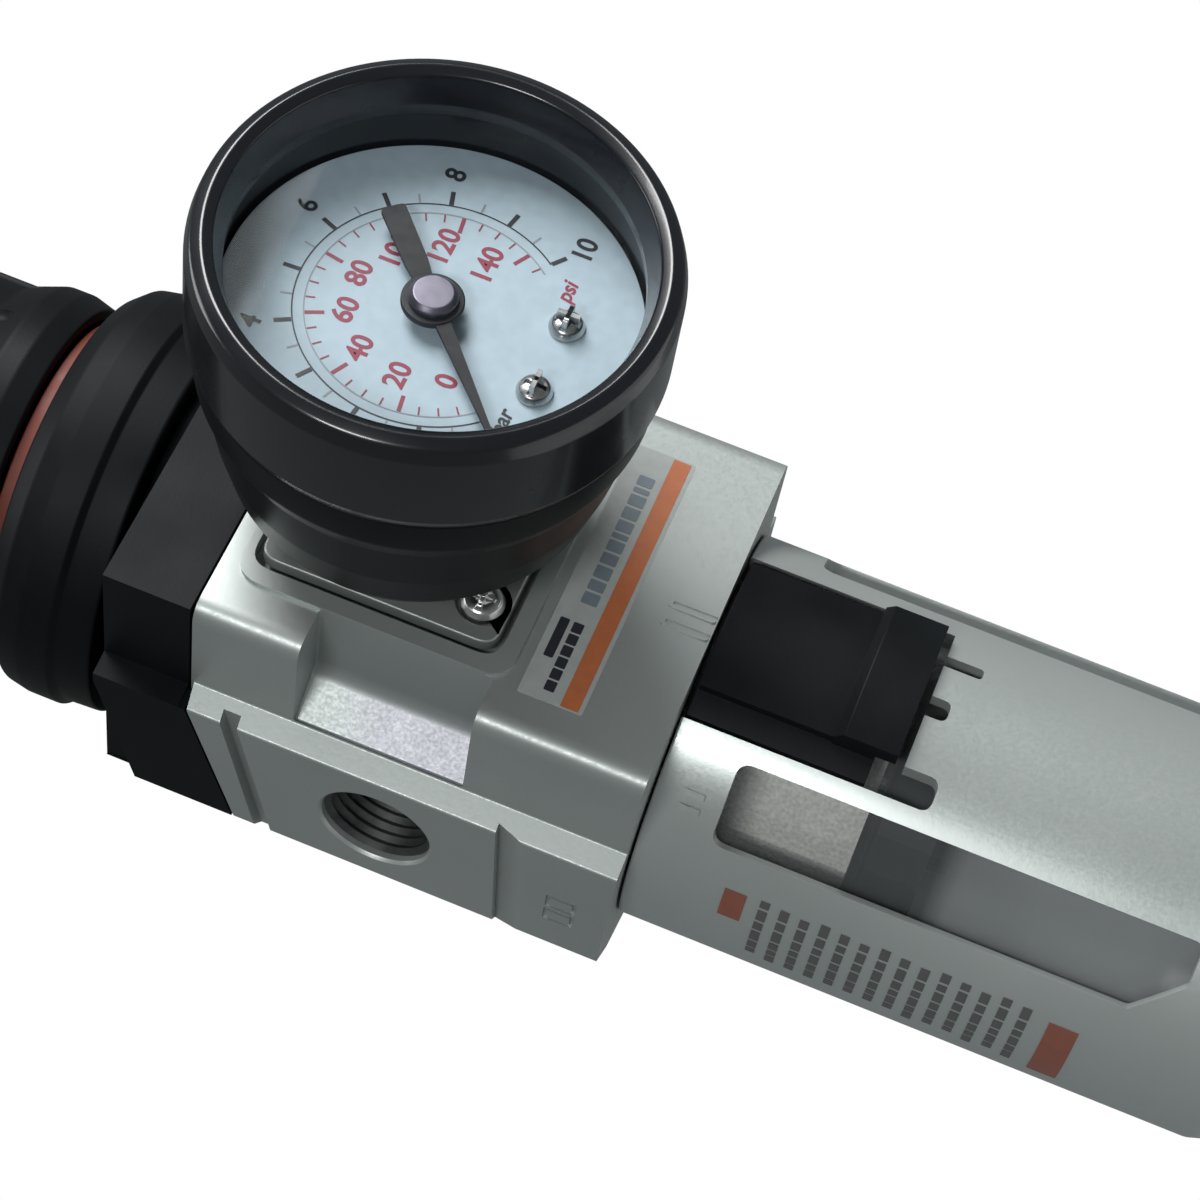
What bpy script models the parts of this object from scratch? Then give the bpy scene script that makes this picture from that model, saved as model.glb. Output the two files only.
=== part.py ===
"""Filter regulator for compressed air: body, bonnet, adjusting knob, pressure gauge and filter bowl.

Frame: metres, +Z along the unit's main axis towards the knob, +X along the port axis, gauge at -Y.
The origin is on the port axis, midway between the ports. The pieces are made around the main axis
and moved to that origin at the end. Sizes below are in millimetres.
The knob is modelled pulled out, which is its unlocked position.
"""
import math

import bmesh
import bpy
from mathutils import Matrix, Vector

MM = 0.001
GAP = 0.3                      # clearance left between pieces that touch

# Driving dimensions, in millimetres
PORT_SPAN = 53.0               # across the two port faces
FRONT_HALF = 23.5              # half width of the front block
FRONT_Y = -22.7                # front face of body and bonnet
REAR_Y = 22.5
PORT_Y = 3.1                   # the port axis passes this far behind the main axis
PAD_HALF = 10.1                # half depth of the port pads
PAD_DRAFT = 0.4                # the pad's front ledge leans back by this much
BODY_TOP = 24.0
BODY_BOTTOM = -28.2
PORT_R = 6.6
GAUGE_Z = 8.6                  # height of the gauge axis
PLATE_FRONT = -24.0            # front face of the plate behind the gauge
PLATE_Z = 6.5                  # height of the gauge plate's centre
BONNET_TIER = 34.6             # top of the bonnet's square tier
NECK_R = 17.8                  # bonnet neck, which carries the panel nut
NECK_TOP = 60.0
NUT_R = 25.0                   # panel nut
NUT_BASE = 36.4
NUT_RIM = 41.0
NUT_TOP = 50.4
KNOB_BASE = 52.6               # knob pulled out
KNOB_TOP = 86.0
GUARD_R = 23.2
GUARD_BOTTOM = -106.0
BUTTON_TOP = -28.9
BOWL_R = 20.4
BOWL_WALL = 1.9
WINDOW_ANGLES = (36.0, 61.0)   # bowl guard windows, measured from the front
WINDOW_Z = (-89.3, -36.2)
CASE_BACK = -29.6              # gauge case, from its back to the bezel's front
CASE_FRONT = -54.0
BEZEL_R = 25.2
BEZEL_FRONT = -68.0
DIAL_Y = -56.5
BONNET_SCREW_PLACES = [(-19.8, -19.2), (19.8, -19.2), (-15.8, 16.8), (15.8, 16.8)]
PARTING_FRONT = 23.6           # leaning parting line between body pads and bonnet ears
PARTING_REAR = 16.1
GAUGE_SCREW_XS = (-9.9, 9.9)
DIAL_SCREW_XS = (-4.7, 4.3)
DIAL_SCREW_Z = GAUGE_Z - 13.2
ZERO_LEAN = 132.0              # the pointer's lean from upright at zero, anticlockwise from the front
STEPS = 24

COLOURS = {
    "cast_metal": ((0.40, 0.43, 0.43), 0.42, 0.85),
    "black_plastic": ((0.018, 0.019, 0.021), 0.45, 0.0),
    "gauge_black": ((0.012, 0.013, 0.015), 0.25, 0.0),
    "lock_orange": ((0.62, 0.10, 0.04), 0.5, 0.0),
    "guard_silver": ((0.47, 0.49, 0.48), 0.4, 0.7),
    "clear_bowl": ((0.72, 0.75, 0.76), 0.12, 0.0),
    "element_white": ((0.75, 0.74, 0.70), 0.8, 0.0),
    "dial_white": ((0.72, 0.78, 0.82), 0.5, 0.0),
    "glass": ((0.85, 0.9, 0.92), 0.05, 0.0),
    "steel": ((0.55, 0.55, 0.56), 0.3, 1.0),
    "brass": ((0.66, 0.48, 0.2), 0.3, 1.0),
    "rubber": ((0.03, 0.03, 0.03), 0.8, 0.0),
    "plate_grey": ((0.22, 0.23, 0.24), 0.5, 0.0),
}


def clear_scene():
    for old in list(bpy.data.objects):
        bpy.data.objects.remove(old)


def collection(name):
    group = bpy.data.collections.new(name)
    bpy.context.scene.collection.children.link(group)
    return group


def material(slot):
    mat = bpy.data.materials.get(slot)
    if mat:
        return mat
    colour, roughness, metallic = COLOURS[slot]
    mat = bpy.data.materials.new(slot)
    mat.use_nodes = True
    shader = mat.node_tree.nodes["Principled BSDF"]
    shader.inputs["Base Color"].default_value = (*colour, 1.0)
    shader.inputs["Roughness"].default_value = roughness
    shader.inputs["Metallic"].default_value = metallic
    return mat


def finish_object(name, mesh, slot):
    """Make an object of the parts collection, or a hidden cutter when slot is None."""
    obj = bpy.data.objects.new(name, mesh)
    if slot is None:
        CUTTERS.objects.link(obj)
        obj.hide_render = True
        obj.display_type = "WIRE"
    else:
        PARTS.objects.link(obj)
        mesh.materials.append(material(slot))
    return obj


def shade(obj, angle=40.0):
    obj.data.shade_smooth()
    obj.data.set_sharp_from_angle(angle=math.radians(angle))


def block(name, low, high, slot=None):
    """A box between two corners."""
    mesh = bpy.data.meshes.new(name)
    bm = bmesh.new()
    bmesh.ops.create_cube(bm, size=1.0)
    size = Vector(high) - Vector(low)
    centre = (Vector(high) + Vector(low)) / 2
    bmesh.ops.scale(bm, vec=size * MM, verts=bm.verts)
    bm.to_mesh(mesh)
    bm.free()
    obj = finish_object(name, mesh, slot)
    obj.location = centre * MM
    return obj


def rod(name, radius, start, end, slot=None, sides=STEPS):
    """A straight cylinder between two points."""
    start = Vector(start) * MM
    end = Vector(end) * MM
    mesh = bpy.data.meshes.new(name)
    bm = bmesh.new()
    bmesh.ops.create_cone(bm, cap_ends=True, segments=sides, radius1=radius * MM,
                          radius2=radius * MM, depth=(end - start).length)
    bm.to_mesh(mesh)
    bm.free()
    obj = finish_object(name, mesh, slot)
    obj.location = (start + end) / 2
    obj.rotation_euler = (end - start).to_track_quat("Z", "Y").to_euler()
    shade(obj)
    return obj


def turned(name, profile, slot=None, steps=STEPS, ring=False):
    """A shape turned about Z. The profile is (radius, z) and runs down the outer side."""
    mesh = bpy.data.meshes.new(name)
    bm = bmesh.new()
    verts = [bm.verts.new((radius * MM, 0.0, z * MM)) for radius, z in profile]
    for first, second in zip(verts, verts[1:]):
        bm.edges.new((first, second))
    if ring:
        bm.edges.new((verts[-1], verts[0]))
    bm.to_mesh(mesh)
    bm.free()
    obj = finish_object(name, mesh, slot)
    mod = obj.modifiers.new("Turn", "SCREW")
    mod.steps = steps
    mod.render_steps = steps
    mod.use_merge_vertices = True
    mod.merge_threshold = 0.00001
    return obj


def tube(name, inner, outer, bottom, top, slot=None, steps=STEPS):
    profile = [(outer, top), (outer, bottom), (inner, bottom), (inner, top)]
    return turned(name, profile, slot, steps, ring=True)


def face_front(obj, z=GAUGE_Z):
    """Turn a shape made about +Z so that its +Z points forward along -Y, on the gauge axis."""
    obj.rotation_euler = (math.radians(90), 0.0, 0.0)
    obj.location = (0.0, 0.0, z * MM)
    return obj


def curve_mesh(name, data, slot, matrix=Matrix()):
    """Convert a curve to a welded mesh object and drop the curve."""
    guide = bpy.data.objects.new(name + "_outline", data)
    PARTS.objects.link(guide)
    guide.matrix_world = matrix
    bpy.context.view_layer.update()
    mesh = bpy.data.meshes.new_from_object(guide.evaluated_get(bpy.context.evaluated_depsgraph_get()))
    bm = bmesh.new()
    bm.from_mesh(mesh)
    bmesh.ops.remove_doubles(bm, verts=bm.verts, dist=0.000001)
    bm.to_mesh(mesh)
    bm.free()
    mesh.materials.clear()
    bpy.data.objects.remove(guide)
    obj = finish_object(name, mesh, slot)
    obj.matrix_world = matrix
    return obj


def prism(name, outline, bottom, top, slot=None, matrix=Matrix()):
    """A flat outline in XY extruded from bottom to top along Z."""
    data = bpy.data.curves.new(name, "CURVE")
    data.dimensions = "2D"
    data.fill_mode = "BOTH"
    data.extrude = (top - bottom) / 2 * MM
    spline = data.splines.new("POLY")
    spline.points.add(len(outline) - 1)
    for point, (x, y) in zip(spline.points, outline):
        point.co = (x * MM, y * MM, 0.0, 1.0)
    spline.use_cyclic_u = True
    lift = Matrix.Translation((0.0, 0.0, (top + bottom) / 2 * MM))
    return curve_mesh(name, data, slot, matrix @ lift)


def wire(name, points, radius, slot, resolution=1):
    """A bent round wire or tube through a list of points."""
    data = bpy.data.curves.new(name, "CURVE")
    data.dimensions = "3D"
    data.bevel_depth = radius * MM
    data.bevel_resolution = resolution
    data.use_fill_caps = True
    spline = data.splines.new("POLY")
    spline.points.add(len(points) - 1)
    for point, place in zip(spline.points, points):
        point.co = (*(Vector(place) * MM), 1.0)
    return curve_mesh(name, data, slot)


def coil(name, radius, wire_radius, bottom, top, turns, slot, per_turn=14):
    """A compression spring about Z with closed ends."""
    count = turns * per_turn
    points = []
    for index in range(count + 1):
        angle = 2 * math.pi * index / per_turn
        share = min(1.0, max(0.0, (index - per_turn * 0.6) / (count - per_turn * 1.2)))
        lead = (wire_radius * 2 + 0.15) * min(index, count - index, per_turn * 0.6) / per_turn
        lead_top = (wire_radius * 2 + 0.15) * 0.6
        low = bottom + wire_radius
        high = top - wire_radius
        if index <= per_turn * 0.6:
            z = low + lead
        elif index >= count - per_turn * 0.6:
            z = high - lead
        else:
            z = low + lead_top + share * (high - low - 2 * lead_top)
        points.append((radius * math.cos(angle), radius * math.sin(angle), z))
    return wire(name, points, wire_radius, slot)


def cut(obj, *cutters, mode="DIFFERENCE"):
    for cutter in cutters:
        mod = obj.modifiers.new(cutter.name, "BOOLEAN")
        mod.operation = mode
        mod.object = cutter
    return obj


def join(obj, *others):
    return cut(obj, *others, mode="UNION")


def section_outline(front_half, side_half):
    """Cross-section shared by body and bonnet: a front block, wider port pads and a chamfered rear."""
    right = [(front_half, FRONT_Y), (front_half, PORT_Y - PAD_HALF), (side_half, PORT_Y - PAD_HALF + PAD_DRAFT),
             (side_half, PORT_Y + PAD_HALF), (21.5, 18.5), (14.0, REAR_Y)]
    left = [(-x, y) for x, y in reversed(right)]
    return right + left


# Body and bonnet


def side_pocket_cutter(side):
    """Pocket in a front side of the body, beside the gauge rim, with a sloping floor."""
    ledge = PORT_Y - PAD_HALF
    outline = [(17.6, -26.0), (17.6, -11.6), (FRONT_HALF - 0.01, ledge + 1.6),
               (FRONT_HALF - 0.01, ledge - 0.1), (30.0, ledge - 0.1), (30.0, -26.0)]
    if side < 0:
        outline = [(-x, y) for x, y in reversed(outline)]
    return prism("pocket_cutter_%d" % side, outline, -8.6, 11.7)


def pad_groove_cutter(side, front_z, rear_z, width, depth):
    """Clamp groove across a port pad, which leans from front_z at the front to rear_z at the rear."""
    front = PORT_Y - PAD_HALF - 1.0
    rear = PORT_Y + PAD_HALF + 3.0
    outline = [(front, front_z), (rear, rear_z), (rear, rear_z + width), (front, front_z + width)]
    name = "groove_cutter_%d_%d" % (side, round(front_z))
    turn = Matrix(((0, 0, 1, 0), (1, 0, 0, 0), (0, 1, 0, 0), (0, 0, 0, 1)))
    half = PORT_SPAN / 2
    low, high = (half - depth, half + 2) if side > 0 else (-half - 2, -half + depth)
    return prism(name, outline, low, high, matrix=turn)


def make_body_casting():
    half = PORT_SPAN / 2
    body = prism("body_casting", section_outline(FRONT_HALF, half), BODY_BOTTOM, BODY_TOP, "cast_metal")
    rim = block("rim_add", (-17.6, FRONT_Y - 0.9, PLATE_Z - 16.4), (17.6, FRONT_Y + 2, PLATE_Z + 16.4))
    join(body, rim)
    join(body, rod("rear_boss", 8.0, (0, REAR_Y - 2, GAUGE_Z), (0, REAR_Y + 1.2, GAUGE_Z)))
    plate_seat = block("plate_seat_cutter", (-15.4, FRONT_Y - 2, PLATE_Z - 14.8),
                       (15.4, FRONT_Y + 0.9, PLATE_Z + 14.8))
    cut(body, plate_seat)
    for side in (-1, 1):
        cut(body, side_pocket_cutter(side))
        cut(body, pad_groove_cutter(side, 17.4, 11.7, 2.1, 1.5))
        cut(body, ramp_groove_cutter(side))
        cut(body, pad_groove_cutter(side, PARTING_FRONT, PARTING_REAR, 12.0, half - FRONT_HALF))
    cut(body, rod("inlet_cutter", PORT_R, (-half - 2, PORT_Y, 0), (-10, PORT_Y, 0)))
    cut(body, rod("outlet_cutter", PORT_R, (half + 2, PORT_Y, 0), (10, PORT_Y, 0)))
    cut(body, rod("inlet_drop_cutter", 3.4, (-14, PORT_Y, 0), (-14, PORT_Y, -16), sides=24))
    cut(body, rod("outlet_rise_cutter", 3.4, (13.0, 0, 0), (13.0, 0, 20), sides=24))
    cut(body, rod("bowl_seat_cutter", 21.3, (0, 0, BODY_BOTTOM - 2), (0, 0, -13.0)))
    cut(body, rod("valve_chamber_cutter", 7.5, (0, 0, -20), (0, 0, -1), sides=24))
    cut(body, rod("valve_seat_cutter", 4.2, (0, 0, -3), (0, 0, 20), sides=24))
    cut(body, rod("outlet_feed_cutter", 2.4, (14, 1.0, 3.9), (2, 0, 3.9), sides=16))
    cut(body, rod("diaphragm_chamber_cutter", 15.4, (0, 0, 16.5), (0, 0, 30)))
    cut(body, rod("diaphragm_seat_cutter", 17.2, (0, 0, 21.5), (0, 0, 30)))
    cut(body, rod("gauge_port_cutter", 3.2, (0, FRONT_Y - 3, GAUGE_Z), (0, -2, GAUGE_Z), sides=24))
    cut(body, rod("rear_port_cutter", 5.2, (0, REAR_Y + 3, GAUGE_Z), (0, 12, GAUGE_Z), sides=24))
    cut(body, rod("rear_feed_cutter", 3.0, (0, 14, GAUGE_Z), (0, 2, GAUGE_Z), sides=24))
    for x, y in BONNET_SCREW_PLACES:
        cut(body, rod("screw_hole_%d_%d" % (x, y), 2.0, (x, y, 13.5), (x, y, 30), sides=16))
    for x in GAUGE_SCREW_XS:
        place = PLATE_Z + gauge_screw_rise(x)
        cut(body, rod("plate_screw_hole_%d" % x, 1.6, (x, FRONT_Y - 3, place), (x, FRONT_Y + 6, place), sides=16))
    shade(body, 25.0)
    return body


def gauge_screw_rise(x):
    """The two gauge plate screws sit in opposite corners of the plate."""
    return -10.6 if x < 0 else 10.6


def bonnet_ear(side):
    """The bonnet's side ear, which reaches down over the body's pad to the leaning parting line."""
    rear = PORT_Y + PAD_HALF
    front = PORT_Y - PAD_HALF + PAD_DRAFT
    drop = (PARTING_REAR - PARTING_FRONT) / (2 * PAD_HALF + 4.0)
    front_z = PARTING_FRONT + drop * (front - PORT_Y + PAD_HALF + 1.0) + GAP
    rear_z = PARTING_FRONT + drop * (2 * PAD_HALF + 1.0) + GAP
    outline = [(front, front_z), (rear, rear_z), (rear, BODY_TOP + 2), (front, BODY_TOP + 2)]
    turn = Matrix(((0, 0, 1, 0), (1, 0, 0, 0), (0, 1, 0, 0), (0, 0, 0, 1)))
    near = FRONT_HALF + GAP
    far = PORT_SPAN / 2
    low, high = (near, far) if side > 0 else (-far, -near)
    return prism("bonnet_ear_%d" % side, outline, low, high, matrix=turn)


def ear_slope_cutter(side):
    """Takes off the top of a side ear along a line that falls towards the rear."""
    front = PORT_Y - PAD_HALF - 1.0
    rear = PORT_Y + PAD_HALF + 3.0
    outline = [(front, 35.4), (rear, 28.8), (rear, 40.0), (front, 40.0)]
    turn = Matrix(((0, 0, 1, 0), (1, 0, 0, 0), (0, 1, 0, 0), (0, 0, 0, 1)))
    near = FRONT_HALF
    low, high = (near, 30.0) if side > 0 else (-30.0, -near)
    return prism("ear_slope_cutter_%d" % side, outline, low, high, matrix=turn)


def ramp_groove_cutter(side):
    """Lower clamp groove: a sharp ledge on the knob side and a ramp towards the bowl."""
    half = PORT_SPAN / 2
    outline = [(half - 1.2, -14.3), (half + 0.05, -17.8), (half + 2, -17.8), (half + 2, -14.3)]
    if side < 0:
        outline = [(-x, z) for x, z in reversed(outline)]
    stand = Matrix(((1, 0, 0, 0), (0, 0, -1, 0), (0, 1, 0, 0), (0, 0, 0, 1)))
    lean = Matrix.Rotation(math.radians(-4.0), 4, "X")
    return prism("ramp_cutter_%d" % side, outline, -30, 30, matrix=lean @ stand)


def make_bonnet():
    base = BODY_TOP + GAP
    half = PORT_SPAN / 2
    bonnet = prism("bonnet", section_outline(FRONT_HALF, half), base, BONNET_TIER, "black_plastic")
    for side in (-1, 1):
        join(bonnet, bonnet_ear(side))
        cut(bonnet, ear_slope_cutter(side))
    dome = turned("bonnet_dome", [(0, NECK_TOP + 3.2), (NECK_R - 2, NECK_TOP + 3.2),
                                  (NECK_R - 1.2, NECK_TOP), (NECK_R - 1.2, KNOB_BASE - 0.1),
                                  (NECK_R, KNOB_BASE - 0.1), (NECK_R, NUT_BASE - 0.5),
                                  (21.0, NUT_BASE - GAP), (22.2, BONNET_TIER - 0.5), (0, BONNET_TIER - 0.5)])
    join(bonnet, dome)
    cut(bonnet, rod("spring_chamber_cutter", 14.6, (0, 0, base - 2), (0, 0, NECK_TOP)))
    cut(bonnet, rod("screw_bore_cutter", 4.5, (0, 0, NECK_TOP - 2), (0, 0, NECK_TOP + 6), sides=24))
    for x, y in BONNET_SCREW_PLACES:
        cut(bonnet, rod("bonnet_hole_%d_%d" % (x, y), 2.1, (x, y, base - 2), (x, y, BONNET_TIER + 1), sides=16))
        cut(bonnet, rod("bonnet_sink_%d_%d" % (x, y), 3.2, (x, y, 30.0), (x, y, 44), sides=20))
    shade(bonnet, 25.0)
    return bonnet


def make_screw(name, head_r, shank_r, shank_z, under_head, head_z):
    """Cap screw about Z with a cross recess in its head."""
    screw = turned(name, [(0, head_z), (head_r * 0.75, head_z), (head_r, head_z - 0.8),
                          (head_r, under_head), (shank_r, under_head), (shank_r, shank_z + 0.5),
                          (shank_r - 0.5, shank_z), (0, shank_z)], "steel", steps=12)
    arm = head_r * 0.6
    for turn in range(2):
        cross = block(name + "_cross_%d" % turn, (-arm, -0.35, head_z - 1.0), (arm, 0.35, head_z + 1))
        cross.rotation_euler = (0, 0, math.pi / 2 * turn)
        cross.parent = screw
        cut(screw, cross)
    return screw


def make_bonnet_screws():
    for index, (x, y) in enumerate(BONNET_SCREW_PLACES, start=1):
        screw = make_screw("bonnet_screw_%d" % index, 2.8, 1.65, 14.5, 30.0 + GAP, 33.0)
        screw.location = (x * MM, y * MM, 0)


def make_panel_nut():
    nut = turned("panel_nut", [
        (20.9, NUT_TOP), (22.6, NUT_TOP - 0.8), (24.4, NUT_TOP - 2.6), (NUT_R, NUT_TOP - 4.6),
        (NUT_R, NUT_RIM), (NUT_R - 0.6, NUT_RIM - 0.4), (NUT_R - 0.9, NUT_BASE), (NECK_R + GAP, NUT_BASE),
        (NECK_R + GAP, NUT_RIM + 4.6), (20.9, NUT_RIM + 4.6)], "black_plastic", ring=True)
    slot_count = 4
    for index in range(slot_count):
        angle = 2 * math.pi * (index + 0.5) / slot_count
        notch = block("nut_notch_%d" % index, (-2.2, -1.2, NUT_BASE - 5), (2.2, 1.2, NUT_BASE - 1))
        notch.location = (NUT_R * MM * math.cos(angle), NUT_R * MM * math.sin(angle), (NUT_BASE + 2.8) * MM)
        notch.rotation_euler = (0, 0, angle + math.pi / 2)
        cut(nut, notch)
    return nut


def make_lock_band():
    return tube("lock_band", NECK_R + GAP, NECK_R + 0.9, NUT_RIM + 4.9, KNOB_BASE - 0.2, "lock_orange")


# Adjusting screw, knob and pressure spring


def make_adjusting_screw():
    screw = turned("adjusting_screw", [
        (0, KNOB_TOP - 8), (4.0, KNOB_TOP - 8), (4.6, KNOB_TOP - 8.6), (4.6, 66.5), (7.0, 66.5),
        (7.0, NECK_TOP + 3.2 + GAP), (4.0, NECK_TOP + 3.2 + GAP), (4.0, 34.5), (3.2, 33.5), (0, 33.5)],
        "steel", steps=24)
    for index in range(2):
        flat = block("screw_flat_%d" % index, (-8, 3.4, 66.8), (8, 8, KNOB_TOP))
        flat.location = ((0, 5.7 * MM, 76.4 * MM), (0, -5.7 * MM, 76.4 * MM))[index]
        cut(screw, flat)
    return screw


def make_knob():
    skirt_r = 20.4
    grip_r = 19.6
    knob = turned("knob", [
        (0, KNOB_TOP), (16.5, KNOB_TOP), (18.6, KNOB_TOP - 0.8), (grip_r, KNOB_TOP - 3), (grip_r, 61.5),
        (21.0, 58.0), (21.0, KNOB_BASE + 3.5), (skirt_r, KNOB_BASE), (19.0, KNOB_BASE),
        (19.0, KNOB_BASE + 4.4), (17.2, KNOB_BASE + 4.4), (17.2, KNOB_TOP - 3.4), (0, KNOB_TOP - 3.4)],
        "black_plastic")
    hub = rod("knob_hub", 8.0, (0, 0, 71.5), (0, 0, KNOB_TOP - 2), sides=24)
    join(knob, hub)
    cut(knob, block("knob_drive_cutter", (-5.0, -3.7, 70), (5.0, 3.7, KNOB_TOP - 3.0)))
    flute_count = 12
    for index in range(flute_count):
        angle = 2 * math.pi * (index + 0.5) / flute_count
        x = (grip_r + 0.9) * math.cos(angle)
        y = (grip_r + 0.9) * math.sin(angle)
        cut(knob, rod("flute_cutter_%d" % index, 1.8, (x, y, 60.5), (x, y, KNOB_TOP + 2), sides=8))
    shade(knob, 30.0)
    return knob


def make_knob_cap():
    return turned("knob_cap", [(0, KNOB_TOP + 1.1), (9.0, KNOB_TOP + 1.1), (10.0, KNOB_TOP + 0.5),
                               (10.0, KNOB_TOP + 0.3), (0, KNOB_TOP + 0.3)], "gauge_black", steps=24)


def make_spring_nut():
    nut = tube("spring_nut", 4.3, 14.0, 55.0, 59.4, "steel", steps=24)
    join(nut, tube("spring_nut_boss", 4.3, 7.0, 51.0, 56.0, steps=24))
    return nut


def make_diaphragm():
    diaphragm = turned("diaphragm", [
        (16.9, 24.0), (16.9, 21.8), (14.6, 21.8), (13.6, 20.6), (12.2, 20.6), (10.9, 21.8), (10.4, 21.8),
        (10.4, 22.8), (11.3, 22.8), (12.5, 21.6), (13.3, 21.6), (14.8, 24.0)], "rubber", ring=True)
    return diaphragm


def make_diaphragm_plate():
    plate = turned("diaphragm_plate", [
        (0, 27.5), (6.0, 27.5), (6.0, 25.0), (12.4, 25.0), (12.4, 23.8), (10.0, 23.8), (10.0, 20.4), (3.0, 20.4),
        (3.0, 16.6), (0, 16.6)],
        "brass", steps=24)
    return plate


def make_valve():
    turned("valve_poppet", [
        (0, 16.3), (2.0, 16.3), (2.0, -1.6), (6.0, -1.6), (6.0, -5.0), (3.2, -6.0), (3.2, -12.5), (0, -12.5)],
        "brass", steps=24)
    coil("valve_spring", 4.9, 0.45, -18.6, -5.9, 5, "steel", per_turn=10)
    turned("valve_guide", [
        (0, -21.5), (3.6, -21.5), (3.6, -18.9), (7.2, -18.9), (7.2, -15.3), (16.5, -15.3), (16.5, -18.0),
        (10.0, -20.4), (10.0, -27.0), (0, -27.0)], "black_plastic")


def make_filter_group():
    deflector = turned("filter_deflector", [
        (16.2, -27.3), (16.7, -28.0), (16.7, -31.0), (10.4, -31.0), (10.4, -27.3)], "black_plastic", ring=True)
    vane_count = 12
    for index in range(vane_count):
        angle = 2 * math.pi * index / vane_count
        slot = block("vane_cutter_%d" % index, (-3, -0.9, -32), (3, 0.9, -28.5))
        slot.location = (16.7 * MM * math.cos(angle), 16.7 * MM * math.sin(angle), -30 * MM)
        slot.rotation_euler = (0, 0, angle + math.radians(35))
        cut(deflector, slot)
    tube("filter_element", 9.0, 13.5, -51.0, -31.3, "element_white")
    turned("filter_stud", [
        (0, -27.3), (5.0, -27.3), (5.0, -29.5), (2.5, -29.5), (2.5, -51.6), (0, -51.6)], "black_plastic", steps=16)
    baffle = turned("baffle", [
        (0, -51.9), (16.0, -51.9), (16.7, -52.6), (16.7, -59.0), (15.6, -59.0), (15.6, -54.0), (6.0, -54.0),
        (6.0, -61.5), (0, -61.5)], "black_plastic")
    return baffle


# Bowl group


def make_bowl():
    inner = BOWL_R - BOWL_WALL
    bottom = GUARD_BOTTOM + 7
    bowl = turned("bowl", [
        (18.9, -15.6), (18.9, -18.3), (17.9, -18.3), (17.9, -20.8), (18.9, -20.8), (BOWL_R, -23.0),
        (BOWL_R, bottom + 8), (18.6, bottom + 2.6), (14.0, bottom), (5.5, bottom - 0.8), (5.5, bottom - 4.0),
        (3.2, bottom - 4.0), (3.2, bottom + 2.0), (13.0, bottom + 2.2), (16.6, bottom + 4.6),
        (inner, bottom + 9.0), (inner, -25.0), (17.2, -24.0), (17.2, -15.6)], "clear_bowl", ring=True)
    return bowl


def make_bowl_ring():
    return tube("bowl_o_ring", 18.15, 20.9, -20.4, -18.7, "rubber")


def window_cutter(side, angles, z_range):
    """Slot with a chamfered lower end through the guard wall, between two angles from the front."""
    middle = math.radians(sum(angles) / 2) * side
    half = GUARD_R * math.sin(math.radians((angles[1] - angles[0]) / 2))
    low, high = z_range
    outline = [(-half, high - 2.5), (-half + 2.5, high), (half - 2.5, high), (half, high - 2.5),
               (half, low + 5), (half - 5, low), (-half + 1.5, low), (-half, low + 1.5)]
    if side < 0:
        outline = [(-x, z) for x, z in reversed(outline)]
    stand = Matrix(((1, 0, 0, 0), (0, 0, -1, 0), (0, 1, 0, 0), (0, 0, 0, 1)))
    spin = Matrix.Rotation(middle, 4, "Z")
    return prism("window_cutter_%d" % side, outline, 15, 27, matrix=spin @ stand)


def make_bowl_guard():
    top = BODY_BOTTOM - GAP
    inner = 21.6
    guard = turned("bowl_guard", [
        (GUARD_R, top), (GUARD_R, GUARD_BOTTOM + 9), (21.5, GUARD_BOTTOM + 3.5), (16.5, GUARD_BOTTOM),
        (9.0, GUARD_BOTTOM), (9.0, GUARD_BOTTOM + 1.8), (15.6, GUARD_BOTTOM + 1.8),
        (19.9, GUARD_BOTTOM + 5.0), (inner, GUARD_BOTTOM + 10.0), (inner, top)], "guard_silver", ring=True)
    for side in (-1, 1):
        cut(guard, window_cutter(side, WINDOW_ANGLES, WINDOW_Z))
    cut(guard, block("button_recess_cutter", (-11.8, -30, -52.8), (10.3, -17.0, -27)))
    for x, width, low in ((-10.1, 1.7, -57.0), (-1.0, 1.3, -55.2), (5.6, 0.8, -57.2)):
        cut(guard, block("prong_cutter_%d" % x, (x - width, -30, low), (x + width, -17.5, -52.0)))
    shade(guard, 30.0)
    return guard


def latch_piece(name, radii, heights, widths, slot=None):
    """Part of a sleeve between two radii, cut to a range of heights and of widths across the front."""
    piece = tube(name, radii[0], radii[1], heights[0], heights[1], slot, steps=72)
    cut(piece, block(name + "_keep", (widths[0], -32, heights[0] - 1), (widths[1], -15, heights[1] + 1)), mode="INTERSECT")
    return piece


def make_lock_button():
    """Sliding latch: a base strip, a raised panel and a thumb flange that rides over the guard."""
    button = latch_piece("lock_button", (21.7, 22.9), (-49.5, BUTTON_TOP), (-11.3, 9.8), "black_plastic")
    join(button, latch_piece("latch_panel", (22.1, 23.9), (-45.4, BUTTON_TOP - 0.2), (-8.6, 8.6)))
    join(button, latch_piece("latch_web", (22.3, 24.4), (-49.3, -44.9), (-8.4, 9.6)))
    join(button, latch_piece("latch_flange", (23.6, 25.3), (-51.8, -44.6), (-8.8, 9.4)))
    return button


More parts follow.
